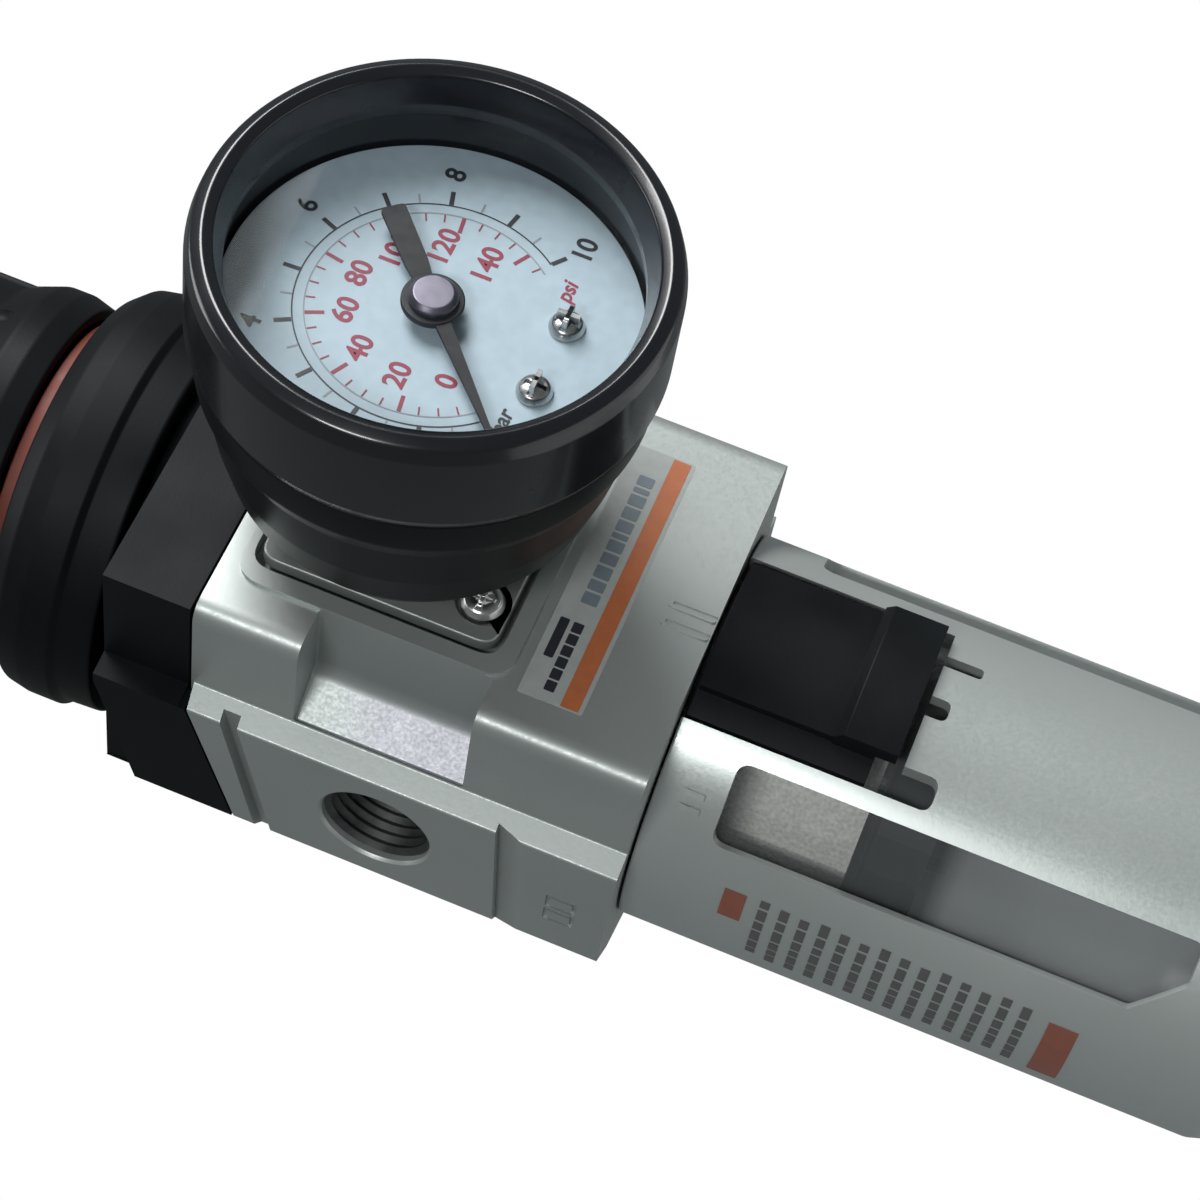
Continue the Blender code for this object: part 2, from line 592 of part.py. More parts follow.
def make_drain():
    bottom = GUARD_BOTTOM + 3.0
    turned("drain_stem", [
        (0, bottom + 8.0), (2.8, bottom + 8.0), (2.8, bottom - 7.6), (0, bottom - 7.6)], "brass", steps=16)
    tube("drain_seal", 3.1, 5.2, bottom - 1.9, bottom - 0.4, "rubber", steps=24)
    knob = turned("drain_knob", [
        (8.2, bottom - 2.3), (8.2, bottom - 10.0), (7.0, bottom - 11.4), (4.2, bottom - 11.4),
        (4.2, bottom - 16.0), (3.4, bottom - 16.6), (1.3, bottom - 16.6), (1.3, bottom - 8.0),
        (3.2, bottom - 8.0), (3.2, bottom - 2.3)], "black_plastic", ring=True, steps=24)
    for side in (-1, 1):
        wing = block("drain_wing_%d" % side, (7.2, -1.4, -7), (11.0, 1.4, 0))
        wing.location = (side * 9.0 * MM, 0, (bottom - 6.5) * MM)
        join(knob, wing)
    return knob


# Gauge


def make_gauge_mount():
    plate_back = FRONT_Y + 0.9 - GAP
    plate = block("gauge_adapter_plate", (-14.8, PLATE_FRONT, PLATE_Z - 14.2), (14.8, plate_back, PLATE_Z + 14.2),
                  "plate_grey")
    cut(plate, rod("plate_bore", 5.2, (0, -30, GAUGE_Z), (0, -20, GAUGE_Z), sides=24))
    seal = tube("gauge_plate_seal", 3.4, 4.9, 22.1, 23.2, "rubber", steps=20)
    face_front(seal)
    for index, x in enumerate(GAUGE_SCREW_XS, start=1):
        z = PLATE_Z + gauge_screw_rise(x)
        cut(plate, rod("plate_hole_%d" % index, 1.7, (x, -30, z), (x, -20, z), sides=16))
        cut(plate, rod("plate_sink_%d" % index, 3.0, (x, -30, z), (x, PLATE_FRONT + 0.8, z)))
        cut(plate, rod("plate_sink_%d" % index, 2.9, (x, -30, z), (x, -24.2, z), sides=20))
        screw = make_screw("gauge_plate_screw_%d" % index, 2.5, 1.3, 17.9, 23.5, 25.2)
        face_front(screw, z)
        screw.location.x = x * MM
    return plate


def make_gauge_shell():
    back = -CASE_BACK
    front = -CASE_FRONT
    case = turned("gauge_case", [
        (24.6, front), (24.2, 49.0), (23.3, 46.8), (22.0, 39.5), (20.6, 34.0), (18.9, back + 1.5), (16.4, back),
        (6.6, back), (6.6, back + 1.8), (16.2, back + 1.8), (18.8, 35.4), (20.3, 40.5), (21.6, 47.0), (22.8, front)],
        "gauge_black", ring=True)
    face_front(case)
    bezel = turned("gauge_bezel", [
        (23.3, -BEZEL_FRONT), (24.5, 67.5), (BEZEL_R, 66.2), (BEZEL_R, 55.2), (24.8, front + GAP),
        (22.5, front + GAP), (22.5, 62.4), (21.3, 62.4), (21.3, 64.0), (22.4, 67.2)], "gauge_black", ring=True)
    face_front(bezel)
    window = turned("gauge_window", [
        (0, 62.1), (22.2, 62.1), (22.2, 60.6), (0, 60.6)], "glass")
    face_front(window)
    dial = tube("gauge_dial", 1.7, 22.1, -DIAL_Y - 0.9, -DIAL_Y, "dial_white")
    face_front(dial)
    for x in DIAL_SCREW_XS:
        hole = rod("dial_hole_%d" % x, 1.1, (x, -70, DIAL_SCREW_Z), (x, -50, DIAL_SCREW_Z), sides=12)
        cut(dial, hole)
    return case


def make_dial_screws():
    for index, x in enumerate(DIAL_SCREW_XS, start=1):
        screw = make_screw("dial_screw_%d" % index, 1.9, 0.8, 53.5, 56.8, 58.0)
        face_front(screw, DIAL_SCREW_Z)
        screw.location.x = x * MM


def make_gauge_movement():
    socket = rod("gauge_socket", 4.9, (0, -23.5, GAUGE_Z), (0, -33.0, GAUGE_Z), "brass", sides=24)
    block_part = block("socket_block", (-5, -40, GAUGE_Z - 12.5), (5, -31.5, GAUGE_Z + 4.0))
    join(socket, block_part)
    arc = 255
    points = []
    radius = 15.5
    for index in range(31):
        angle = math.radians(-72 + arc * index / 30)
        points.append((radius * math.cos(angle), -36.0, GAUGE_Z + radius * math.sin(angle)))
    wire("bourdon_tube", points, 1.5, "brass", resolution=2)
    plate = block("movement_plate", (-9.5, -45.6, DIAL_SCREW_Z - 2.6), (9.5, -44.4, GAUGE_Z + 5), "brass")
    for side in (-1, 1):
        x = 4.4 * side
        join(plate, rod("movement_post_%d" % side, 1.5, (x, -45, DIAL_SCREW_Z), (x, -53.2, DIAL_SCREW_Z), sides=16))
    cut(plate, rod("arbor_bore", 1.3, (0, -50, GAUGE_Z), (0, -40, GAUGE_Z), sides=16))
    shaft = turned("pointer_shaft", [
        (0, 59.3), (0.8, 59.3), (0.9, 50.0), (2.1, 50.0), (2.1, 46.6), (1.0, 46.6), (1.0, 42.0), (0, 42.0)],
        "brass", steps=16)
    face_front(shaft)
    sector_turn = Matrix(((1, 0, 0, 0), (0, 0, -1, 0), (0, 1, 0, 0), (0, 0, 0, 1)))
    pivot = Vector((0.0, 0.0, (GAUGE_Z - 10.5) * MM))
    rim = []
    for index in range(9):
        angle = math.radians(39.5 + 56.0 * index / 8)
        rim.append((8.0 * math.cos(angle), 8.0 * math.sin(angle)))
    outline = [(2.2, -2.2)] + rim + [(-2.2, -2.2)]
    sector = prism("sector_gear", outline, 46.9, 48.3, "brass", Matrix.Translation(pivot) @ sector_turn)
    return sector


def make_pointer():
    """Pointer lying at the zero mark, with a wide tail."""
    outline = [(-1.5, -13.2), (1.5, -13.2), (1.5, -2.0), (2.0, 0.0), (1.0, 3.0), (0.35, 17.2), (-0.35, 17.2),
               (-1.0, 3.0), (-2.0, 0.0), (-1.5, -2.0)]
    stand = Matrix(((1, 0, 0, 0), (0, 0, -1, 0), (0, 1, 0, 0), (0, 0, 0, 1)))
    lean = Matrix.Rotation(math.radians(-ZERO_LEAN), 4, "Y")
    place = Matrix.Translation((0, 0, GAUGE_Z * MM))
    pointer = prism("pointer", outline[::-1], 58.3, 58.8, "gauge_black", place @ lean @ stand)
    cut(pointer, rod("pointer_bore", 1.1, (0, -64, GAUGE_Z), (0, -54, GAUGE_Z), sides=16))
    return pointer


def make_rear_plug():
    plug = rod("rear_port_plug", 4.9, (0, REAR_Y + 0.5, GAUGE_Z), (0, 14.0, GAUGE_Z), "steel", sides=24)
    join(plug, rod("plug_head", 7.2, (0, REAR_Y + 1.2 + GAP, GAUGE_Z), (0, REAR_Y + 3.8, GAUGE_Z), sides=24))
    join(plug, rod("plug_neck", 4.9, (0, REAR_Y, GAUGE_Z), (0, REAR_Y + 2.0, GAUGE_Z), sides=24))
    cut(plug, rod("plug_hex", 2.9, (0, REAR_Y + 1.6, GAUGE_Z), (0, REAR_Y + 6, GAUGE_Z), sides=6))
    return plug


def move_origin_to_ports():
    for obj in bpy.data.objects:
        obj.location.y -= PORT_Y * MM


clear_scene()
PARTS = collection("air_filter_regulator")
CUTTERS = collection("cutters")

make_body_casting()
make_bonnet()
make_bonnet_screws()
make_panel_nut()
make_lock_band()
make_adjusting_screw()
make_knob()
make_knob_cap()
make_spring_nut()
coil("pressure_spring", 10.6, 1.3, 25.3, 54.7, 7, "steel")
make_diaphragm()
make_diaphragm_plate()
make_valve()
make_filter_group()
make_bowl()
make_bowl_ring()
make_bowl_guard()
make_lock_button()
make_drain()
make_gauge_mount()
make_gauge_shell()
make_dial_screws()
make_gauge_movement()
make_pointer()
make_rear_plug()
move_origin_to_ports()
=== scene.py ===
"""Looks of the filter regulator: materials, fine shapes, dial, labels, light and camera around the CAD frame.

Shapes are made in millimetres around the unit's main axis, like the CAD, then moved to the frame's origin.
"""
import math

import bmesh
import bpy
from mathutils import Matrix, Vector


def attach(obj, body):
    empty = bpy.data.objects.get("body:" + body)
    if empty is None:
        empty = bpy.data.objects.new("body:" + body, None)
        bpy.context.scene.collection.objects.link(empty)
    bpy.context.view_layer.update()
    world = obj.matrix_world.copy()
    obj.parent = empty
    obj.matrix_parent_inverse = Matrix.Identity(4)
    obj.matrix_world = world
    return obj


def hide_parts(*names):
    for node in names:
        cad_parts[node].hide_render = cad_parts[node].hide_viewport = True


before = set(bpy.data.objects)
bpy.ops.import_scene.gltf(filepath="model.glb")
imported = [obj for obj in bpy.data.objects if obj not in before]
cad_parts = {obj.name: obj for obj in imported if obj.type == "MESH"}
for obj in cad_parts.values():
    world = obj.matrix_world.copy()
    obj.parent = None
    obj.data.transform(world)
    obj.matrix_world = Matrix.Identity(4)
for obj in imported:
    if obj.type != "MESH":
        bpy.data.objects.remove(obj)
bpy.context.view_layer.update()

MM = 0.001
PORT_Y = 3.1                   # the port axis, which holds the origin, is this far behind the main axis
FRONT_Y = -22.7                # cast body
REAR_Y = 22.5
FRONT_HALF = 23.5
PORT_HALF = 26.5
BODY_TOP = 24.0
BODY_BOTTOM = -28.2
PORT_R = 6.6
THREAD_R = 5.9
THREAD_MOUTH = 25.4
THREAD_PITCH = 1.34
BONNET_SCREWS = [(-19.8, -19.2), (19.8, -19.2), (-15.8, 16.8), (15.8, 16.8)]
PLATE_Z = 6.5                  # gauge and the plate behind it
PLATE_FRONT = -24.0
GAUGE_Z = 8.6
DIAL_Y = -56.5
DIAL_PRINT_LIFT = 0.04
DIAL_SCREW_Z = GAUGE_Z - 13.2
DIAL_SCREW_XS = (-4.7, 4.3)
POINTER_BACK = 58.3            # distances in front of the main axis
POINTER_FRONT = 58.8
GUARD_R = 23.2                 # bowl guard
GUARD_INNER_R = 21.6
GUARD_TOP = -28.5
GUARD_BOTTOM = -106.0
WINDOW_ANGLE = 48.5            # middle of each guard window, in degrees from the front
WINDOW_TOP = -36.2
WINDOW_BOTTOM = -89.3
BAR_PER_PSI = 0.0689476
ZERO_ANGLE = -134.0            # dial scale, in degrees clockwise from the top
BAR_STEP = 26.2
POINTER_ANGLE = -132.0
FLOOR_Z = -182.0               # just below the drain when the bowl is all the way down
PLATE_SCREWS = [(-9.9, -10.6), (9.9, 10.6)]  # x, and height from the plate's centre
ROUND_STEPS = 144

FACE_FRONT = Matrix.Rotation(math.radians(90), 4, "X")
STAND_FRONT = Matrix(((1, 0, 0, 0), (0, 0, -1, 0), (0, 1, 0, 0), (0, 0, 0, 1)))


# Material helpers


class Shader:
    """A material with a principled shader and short helpers for its nodes."""

    def __init__(self, name, colour, roughness, metallic=0.0):
        self.material = bpy.data.materials.new(name)
        self.material.use_nodes = True
        self.nodes = self.material.node_tree.nodes
        self.links = self.material.node_tree.links
        self.main = self.nodes["Principled BSDF"]
        self.output = self.nodes["Material Output"]
        self.place = self.nodes.new("ShaderNodeTexCoord").outputs["Object"]
        self.main.inputs["Base Color"].default_value = (*colour, 1.0)
        self.main.inputs["Roughness"].default_value = roughness
        self.main.inputs["Metallic"].default_value = metallic
        self.height = None

    def noise(self, scale, detail=3.0, stretch=(1, 1, 1)):
        mapping = self.nodes.new("ShaderNodeMapping")
        mapping.inputs["Scale"].default_value = stretch
        self.links.new(self.place, mapping.inputs["Vector"])
        texture = self.nodes.new("ShaderNodeTexNoise")
        texture.inputs["Scale"].default_value = scale
        texture.inputs["Detail"].default_value = detail
        self.links.new(mapping.outputs["Vector"], texture.inputs["Vector"])
        return texture.outputs["Fac"]

    def spread(self, value, low, high, start=0.3, end=0.7):
        """Map a value between start and end to a number between low and high."""
        node = self.nodes.new("ShaderNodeMapRange")
        node.inputs["From Min"].default_value = start
        node.inputs["From Max"].default_value = end
        node.inputs["To Min"].default_value = low
        node.inputs["To Max"].default_value = high
        self.links.new(value, node.inputs["Value"])
        return node.outputs["Result"]

    def colours(self, value, first, second):
        node = self.nodes.new("ShaderNodeMix")
        node.data_type = "RGBA"
        node.inputs["A"].default_value = (*first, 1.0)
        node.inputs["B"].default_value = (*second, 1.0)
        self.links.new(value, node.inputs["Factor"])
        self.links.new(node.outputs["Result"], self.main.inputs["Base Color"])

    def rough(self, value, low, high):
        self.links.new(self.spread(value, low, high), self.main.inputs["Roughness"])

    def bump(self, value, strength, distance=0.0001):
        node = self.nodes.new("ShaderNodeBump")
        node.inputs["Strength"].default_value = strength
        node.inputs["Distance"].default_value = distance
        self.links.new(value, node.inputs["Height"])
        if self.height:
            self.links.new(self.height, node.inputs["Normal"])
        self.height = node.outputs["Normal"]
        self.links.new(self.height, self.main.inputs["Normal"])

    def see_through(self, share):
        """Mix the surface with a clear one, so that share of the light passes straight through."""
        clear = self.nodes.new("ShaderNodeBsdfTransparent")
        mix = self.nodes.new("ShaderNodeMixShader")
        mix.inputs["Fac"].default_value = share
        self.links.new(self.main.outputs["BSDF"], mix.inputs[1])
        self.links.new(clear.outputs["BSDF"], mix.inputs[2])
        self.links.new(mix.outputs["Shader"], self.output.inputs["Surface"])
        return mix.inputs["Fac"]


def silver_paint(name, tone, low=0.38, high=0.48):
    """Fine metallic paint over a cast surface."""
    shader = Shader(name, (0.5, 0.5, 0.5), 0.42, 0.6)
    cloud = shader.noise(45.0, 2.0)
    dark = (0.335 * tone, 0.365 * tone, 0.355 * tone)
    light = (0.365 * tone, 0.395 * tone, 0.385 * tone)
    shader.colours(shader.spread(cloud, 0.0, 1.0), dark, light)
    shader.rough(shader.noise(2500.0, 2.0), low, high)
    shader.bump(shader.noise(1300.0, 2.0), 0.10, 0.00005)
    shader.bump(shader.noise(5200.0, 1.0), 0.10, 0.00002)
    return shader


def body_paint():
    """The body's paint, which leaves the faces inside the side pockets as bare casting."""
    shader = silver_paint("body_paint", 1.14)
    split = shader.nodes.new("ShaderNodeSeparateXYZ")
    shader.links.new(shader.place, split.inputs["Vector"])
    across = shader.nodes.new("ShaderNodeMath")
    across.operation = "ABSOLUTE"
    shader.links.new(split.outputs["X"], across.inputs[0])
    mask = shader.spread(across.outputs["Value"], 0.0, 1.0, 0.0176, 0.0190)
    limits = ((across.outputs["Value"], 0.0234, 0.02335), (split.outputs["Y"], -0.0098, -0.0100),
              (split.outputs["Y"], -0.0255, -0.0254), (split.outputs["Z"], 0.0085, 0.0020),
              (split.outputs["Z"], -0.0084, -0.0080))
    for value, outside, inside in limits:
        product = shader.nodes.new("ShaderNodeMath")
        product.operation = "MULTIPLY"
        shader.links.new(mask, product.inputs[0])
        shader.links.new(shader.spread(value, 0.0, 1.0, outside, inside), product.inputs[1])
        mask = product.outputs["Value"]
    painted = shader.main.inputs["Base Color"].links[0].from_socket
    blotch = shader.nodes.new("ShaderNodeMix")
    blotch.data_type = "RGBA"
    blotch.inputs["A"].default_value = (0.33, 0.34, 0.37, 1.0)
    blotch.inputs["B"].default_value = (0.40, 0.41, 0.44, 1.0)
    shader.links.new(shader.spread(shader.noise(260.0, 4.0), 0.0, 1.0), blotch.inputs["Factor"])
    both = shader.nodes.new("ShaderNodeMix")
    both.data_type = "RGBA"
    shader.links.new(mask, both.inputs["Factor"])
    shader.links.new(painted, both.inputs["A"])
    shader.links.new(blotch.outputs["Result"], both.inputs["B"])
    shader.links.new(both.outputs["Result"], shader.main.inputs["Base Color"])
    return shader.material


def black_plastic(name, tone, low, high, grain=0.12):
    """Moulded black plastic, with a roughness between low and high."""
    shader = Shader(name, (0.015, 0.016, 0.017), 0.35)
    shader.main.inputs["Specular IOR Level"].default_value = 0.10
    cloud = shader.noise(90.0, 3.0)
    dark = (0.0095 * tone, 0.0115 * tone, 0.0135 * tone)
    light = (0.0150 * tone, 0.0180 * tone, 0.0205 * tone)
    shader.colours(shader.spread(cloud, 0.0, 1.0), dark, light)
    shader.rough(cloud, low, high)
    shader.bump(shader.noise(2600.0, 2.0), grain)
    return shader.material


def gauge_enamel():
    shader = Shader("gauge_enamel", (0.004, 0.005, 0.0075), 0.2)
    shader.rough(shader.noise(120.0, 3.0), 0.20, 0.28)
    shader.bump(shader.noise(700.0, 2.0), 0.03)
    shader.main.inputs["Coat Weight"].default_value = 0.25
    shader.main.inputs["Coat Roughness"].default_value = 0.1
    return shader.material


def printed(name, colour, roughness=0.45):
    """Ink or label stock, very slightly uneven."""
    shader = Shader(name, colour, roughness)
    cloud = shader.noise(700.0, 3.0)
    darker = tuple(part * 0.9 for part in colour)
    shader.colours(shader.spread(cloud, 0.0, 1.0), darker, colour)
    shader.rough(cloud, roughness - 0.05, roughness + 0.05)
    return shader.material


def bright_metal(name, dark, light, roughness):
    shader = Shader(name, light, roughness, 1.0)
    cloud = shader.noise(500.0, 4.0)
    shader.colours(shader.spread(cloud, 0.0, 1.0), dark, light)
    shader.rough(cloud, roughness - 0.06, roughness + 0.08)
    shader.bump(shader.noise(1800.0, 2.0, (1, 1, 0.2)), 0.08)
    return shader.material


def clear_plastic(name, colour, share, roughness):
    shader = Shader(name, colour, roughness)
    shader.rough(shader.noise(60.0, 2.0), roughness * 0.8, roughness * 1.2)
    shader.see_through(share)
    return shader.material


def bowl_plastic():
    """Clear plastic, clear beside the filter and hazier in the sump below it."""
    shader = Shader("bowl_plastic", (0.42, 0.45, 0.46), 0.16)
    shader.rough(shader.noise(60.0, 2.0), 0.13, 0.19)
    split = shader.nodes.new("ShaderNodeSeparateXYZ")
    shader.links.new(shader.place, split.inputs["Vector"])
    share = shader.spread(split.outputs["Z"], 0.70, 0.91, -0.0630, -0.0600)
    shader.links.new(share, shader.see_through(0.9))
    return shader.material


def filter_sinter():
    shader = Shader("filter_sinter", (0.75, 0.74, 0.7), 0.8)
    grain = shader.noise(2200.0, 2.0)
    shader.colours(shader.spread(grain, 0.0, 1.0), (0.6, 0.6, 0.57), (0.85, 0.85, 0.82))
    shader.bump(grain, 0.6)
    return shader.material


PAINT = silver_paint("silver_paint", 1.14).material
BODY_PAINT = body_paint()
# The guard takes the body's silver paint at a lighter tone: painted light for its bright highlight band.
LIT_GUARD_PAINT = silver_paint("guard_paint_painted_light", 1.42, 0.28, 0.36).material
BLACK = black_plastic("black_plastic", 0.38, 0.42, 0.55)
BUTTON_BLACK = black_plastic("button_plastic", 0.5, 0.38, 0.48)
RUBBER = black_plastic("black_rubber", 0.8, 0.6, 0.75, 0.3)
ENAMEL = gauge_enamel()
CASE_BLACK = black_plastic("case_black", 0.42, 0.30, 0.38, 0.05)
PLATE_GREY = silver_paint("plate_paint", 0.88).material
DIAL_WHITE = printed("dial_face", (0.47, 0.60, 0.68), 0.6)
INK_BLACK = printed("ink_black", (0.02, 0.022, 0.03))
INK_RED = printed("ink_red", (0.30, 0.03, 0.065))
INK_GREY = printed("ink_grey", (0.30, 0.33, 0.37))
ORANGE = printed("label_orange", (0.47, 0.14, 0.05))
LABEL_BASE = printed("label_base", (0.37, 0.40, 0.39))
LABEL_BLUE = printed("label_blue_grey", (0.16, 0.20, 0.23))
NOTE_RED = printed("note_red", (0.26, 0.09, 0.06))
NOTE_GREY = printed("note_grey", (0.10, 0.10, 0.10))
# Dark red in place of the band's orange: painted shade for the band's place under the panel nut.
SHADED_BAND_ORANGE = printed("lock_band_orange_painted_shade", (0.15, 0.024, 0.011), 0.6)
POINTER_BLACK = printed("pointer_black", (0.004, 0.005, 0.008), 0.55)
STEEL = bright_metal("steel", (0.42, 0.42, 0.42), (0.62, 0.62, 0.62), 0.28)
HUB_STEEL = bright_metal("hub_steel", (0.16, 0.15, 0.19), (0.24, 0.23, 0.28), 0.45)
BRASS = bright_metal("brass", (0.50, 0.34, 0.13), (0.66, 0.47, 0.2), 0.3)
GLASS = clear_plastic("gauge_glass", (0.02, 0.025, 0.03), 0.93, 0.03)
BOWL_CLEAR = bowl_plastic()
SINTER = filter_sinter()
# Near-black metal for the port threads: painted shade for the inside of the bores.
SHADED_THREAD_METAL = bright_metal("thread_metal_painted_shade", (0.07, 0.075, 0.075), (0.12, 0.125, 0.125), 0.5)


# Shape helpers


def finish_mesh(name, bm, material, angle=35.0):
    """Turn a bmesh into an object at the frame's origin, smooth except at sharp edges."""
    bmesh.ops.recalc_face_normals(bm, faces=bm.faces)
    bmesh.ops.scale(bm, vec=(MM, MM, MM), verts=bm.verts)
    bmesh.ops.translate(bm, vec=(0.0, -PORT_Y * MM, 0.0), verts=bm.verts)
    mesh = bpy.data.meshes.new(name)
    bm.to_mesh(mesh)
    bm.free()
    mesh.shade_smooth()
    mesh.set_sharp_from_angle(angle=math.radians(angle))
    mesh.materials.append(material)
    obj = bpy.data.objects.new(name, mesh)
    bpy.context.scene.collection.objects.link(obj)
    return obj


def fillet(points, closed=False):
    """Round each corner given as (a, b, radius); corners given as (a, b) stay sharp."""
    result = []
    count = len(points)
    for index, point in enumerate(points):
        at_end = not closed and index in (0, count - 1)
        if len(point) < 3 or at_end:
            result.append((point[0], point[1]))
            continue
        here = Vector(point[:2])
        before = Vector(points[index - 1][:2]) - here
        after = Vector(points[(index + 1) % count][:2]) - here
        half = before.angle(after) / 2
        reach = min(point[2] / math.tan(half), before.length * 0.49, after.length * 0.49)
        start = here + before.normalized() * reach
        end = here + after.normalized() * reach
        segments = 6
        for step in range(segments + 1):
            t = step / segments
            bent = start * (1 - t) ** 2 + here * 2 * t * (1 - t) + end * t ** 2
            result.append((bent.x, bent.y))
    return result


def lathe(name, profile, material, ring=False, steps=ROUND_STEPS, matrix=Matrix(), angle=35.0):
    """A shape turned about Z from a profile of (radius, z), with optional corner radii."""
    bm = bmesh.new()
    outline = fillet(profile, ring)
    rows = []
    for radius, z in outline:
        if radius == 0:
            rows.append([bm.verts.new((0.0, 0.0, z))] * steps)
            continue
        row = []
        for step in range(steps):
            turn = 2 * math.pi * step / steps
            row.append(bm.verts.new((radius * math.cos(turn), radius * math.sin(turn), z)))
        rows.append(row)
    pairs = list(zip(rows, rows[1:]))
    if ring:
        pairs.append((rows[-1], rows[0]))
    for first, second in pairs:
        for step in range(steps):
            after = (step + 1) % steps
            corners = [first[step], first[after], second[after], second[step]]
            unique = list(dict.fromkeys(corners))
            bm.faces.new(unique)
    bmesh.ops.transform(bm, matrix=matrix, verts=bm.verts)
    return finish_mesh(name, bm, material, angle)


def slab(name, outline, bottom, top, material, matrix=Matrix(), angle=35.0):
    """A flat outline in XY, with optional corner radii, drawn up from bottom to top."""
    bm = bmesh.new()
    verts = [bm.verts.new((x, y, bottom)) for x, y in fillet(outline, True)]
    face = bm.faces.new(verts)
    lifted = bmesh.ops.extrude_face_region(bm, geom=[face])["geom"]
    moved = [item for item in lifted if isinstance(item, bmesh.types.BMVert)]
    bmesh.ops.translate(bm, vec=(0.0, 0.0, top - bottom), verts=moved)
    bmesh.ops.transform(bm, matrix=matrix, verts=bm.verts)
    return finish_mesh(name, bm, material, angle)


def box(name, low, high, material, radius=0.0):
    """A block between two corners, with rounded vertical edges."""
    outline = rounded_rectangle(low[0], low[1], high[0], high[1], radius)
    return slab(name, outline, low[2], high[2], material)


def front_slab(name, outline, back, front, material):
    """A flat outline in XZ given as (x, z), from y=back forward to y=front."""
    return slab(name, outline, -back, -front, material, STAND_FRONT)


def rounded_rectangle(x0, z0, x1, z1, radius):
    """Corners of a rectangle for fillet, counter-clockwise."""
    return [(x0, z0, radius), (x1, z0, radius), (x1, z1, radius), (x0, z1, radius)]


def soften(obj, width, segments=3, angle=30.0):
    """Round the sharp edges by width and even out the shading."""
    bevel = obj.modifiers.new("Edges", "BEVEL")
    bevel.width = width * MM
    bevel.segments = segments
    bevel.limit_method = "ANGLE"
    bevel.angle_limit = math.radians(angle)
    return even_shading(obj)


def even_shading(obj):
    """Let the large faces set the shading, so that flat ones look flat."""
    weight = obj.modifiers.new("Shading", "WEIGHTED_NORMAL")
    weight.keep_sharp = True
    return obj


def apply_all(obj):
    """Replace an object's mesh by its finished shape."""
    bpy.context.view_layer.update()
    done = bpy.data.meshes.new_from_object(obj.evaluated_get(bpy.context.evaluated_depsgraph_get()))
    done.validate()
    obj.modifiers.clear()
    obj.data = done
    return obj


def carve(obj, *cutters, mode="DIFFERENCE"):
    """Cut, join or intersect an object with others and drop those."""
    for cutter in cutters:
        change = obj.modifiers.new("Carve", "BOOLEAN")
        change.operation = mode
        change.solver = "EXACT"
        change.object = cutter
    apply_all(obj)
    for cutter in cutters:
        bpy.data.objects.remove(cutter)
    return obj


def tidy_sharp(obj, angle=30.0):
    """Merge coplanar faces left by cutting and mark the sharp edges again."""
    bm = bmesh.new()
    bm.from_mesh(obj.data)
    bmesh.ops.remove_doubles(bm, verts=bm.verts, dist=0.00001)
    bmesh.ops.dissolve_limit(bm, angle_limit=math.radians(0.5), verts=bm.verts, edges=bm.edges)
    bm.to_mesh(obj.data)
    bm.free()
    obj.data.validate()
    obj.data.shade_smooth()
    obj.data.set_sharp_from_angle(angle=math.radians(angle))
    return obj


def stroke(name, points, width, material, matrix):
    """A flat printed line of a given width along points in XY."""
    bm = bmesh.new()
    rows = []
    for index, point in enumerate(points):
        here = Vector(point)
        before = Vector(points[max(index - 1, 0)])
        after = Vector(points[min(index + 1, len(points) - 1)])
        run = (after - before).normalized()
        side = Vector((-run.y, run.x)) * width / 2
        rows.append([bm.verts.new((*(here + side), 0.0)), bm.verts.new((*(here - side), 0.0))])
    for first, second in zip(rows, rows[1:]):
        bm.faces.new([first[0], first[1], second[1], second[0]])
    bmesh.ops.transform(bm, matrix=matrix, verts=bm.verts)
    return finish_mesh(name, bm, material)


def lettering(name, words, size, matrix, material, slant=0.0):
    """Generic figures or unit names as thin flat mesh."""
    data = bpy.data.curves.new(name, "FONT")
    data.body = words
    data.size = size
    data.shear = slant
    data.align_x = "CENTER"
    data.align_y = "CENTER"
    data.offset = size * 0.022
    guide = bpy.data.objects.new(name + "_guide", data)
    bpy.context.scene.collection.objects.link(guide)
    bpy.context.view_layer.update()
    mesh = bpy.data.meshes.new_from_object(guide.evaluated_get(bpy.context.evaluated_depsgraph_get()))
    bpy.data.objects.remove(guide)
    bm = bmesh.new()
    bm.from_mesh(mesh)
    bmesh.ops.transform(bm, matrix=matrix, verts=bm.verts)
    return finish_mesh(name, bm, material)


def merge(name, pieces):
    """Join several meshes into one piece."""
    bm = bmesh.new()
    for piece in pieces:
        bm.from_mesh(piece.data)
    first = pieces[0]
    mesh = bpy.data.meshes.new(name)
    bm.to_mesh(mesh)
    bm.free()
    mesh.materials.append(first.data.materials[0])
    for piece in pieces:
        bpy.data.objects.remove(piece)
    obj = bpy.data.objects.new(name, mesh)
    bpy.context.scene.collection.objects.link(obj)
    return obj


def place(obj, body, slot, *nodes):
    """Ride on a CAD body and stand for CAD nodes. The slot is not used."""
    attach(obj, body)
    if nodes:
        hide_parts(*nodes)
    return obj


def dress(node, material):
    """Give a CAD node that stays a better material."""
    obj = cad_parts[node]
    obj.data.materials.clear()
    obj.data.materials.append(material)
    return obj


def refine(node, material, width, segments=3, angle=30.0):
    """Show a CAD node with a better material and rounded edges."""
    obj = dress(node, material)
    weld = obj.modifiers.new("Weld", "WELD")
    weld.merge_threshold = 0.00001
    flat = obj.modifiers.new("Flat", "DECIMATE")
    flat.decimate_type = "DISSOLVE"
    flat.angle_limit = math.radians(0.5)
    return soften(obj, width, segments, angle)


# Body and bonnet


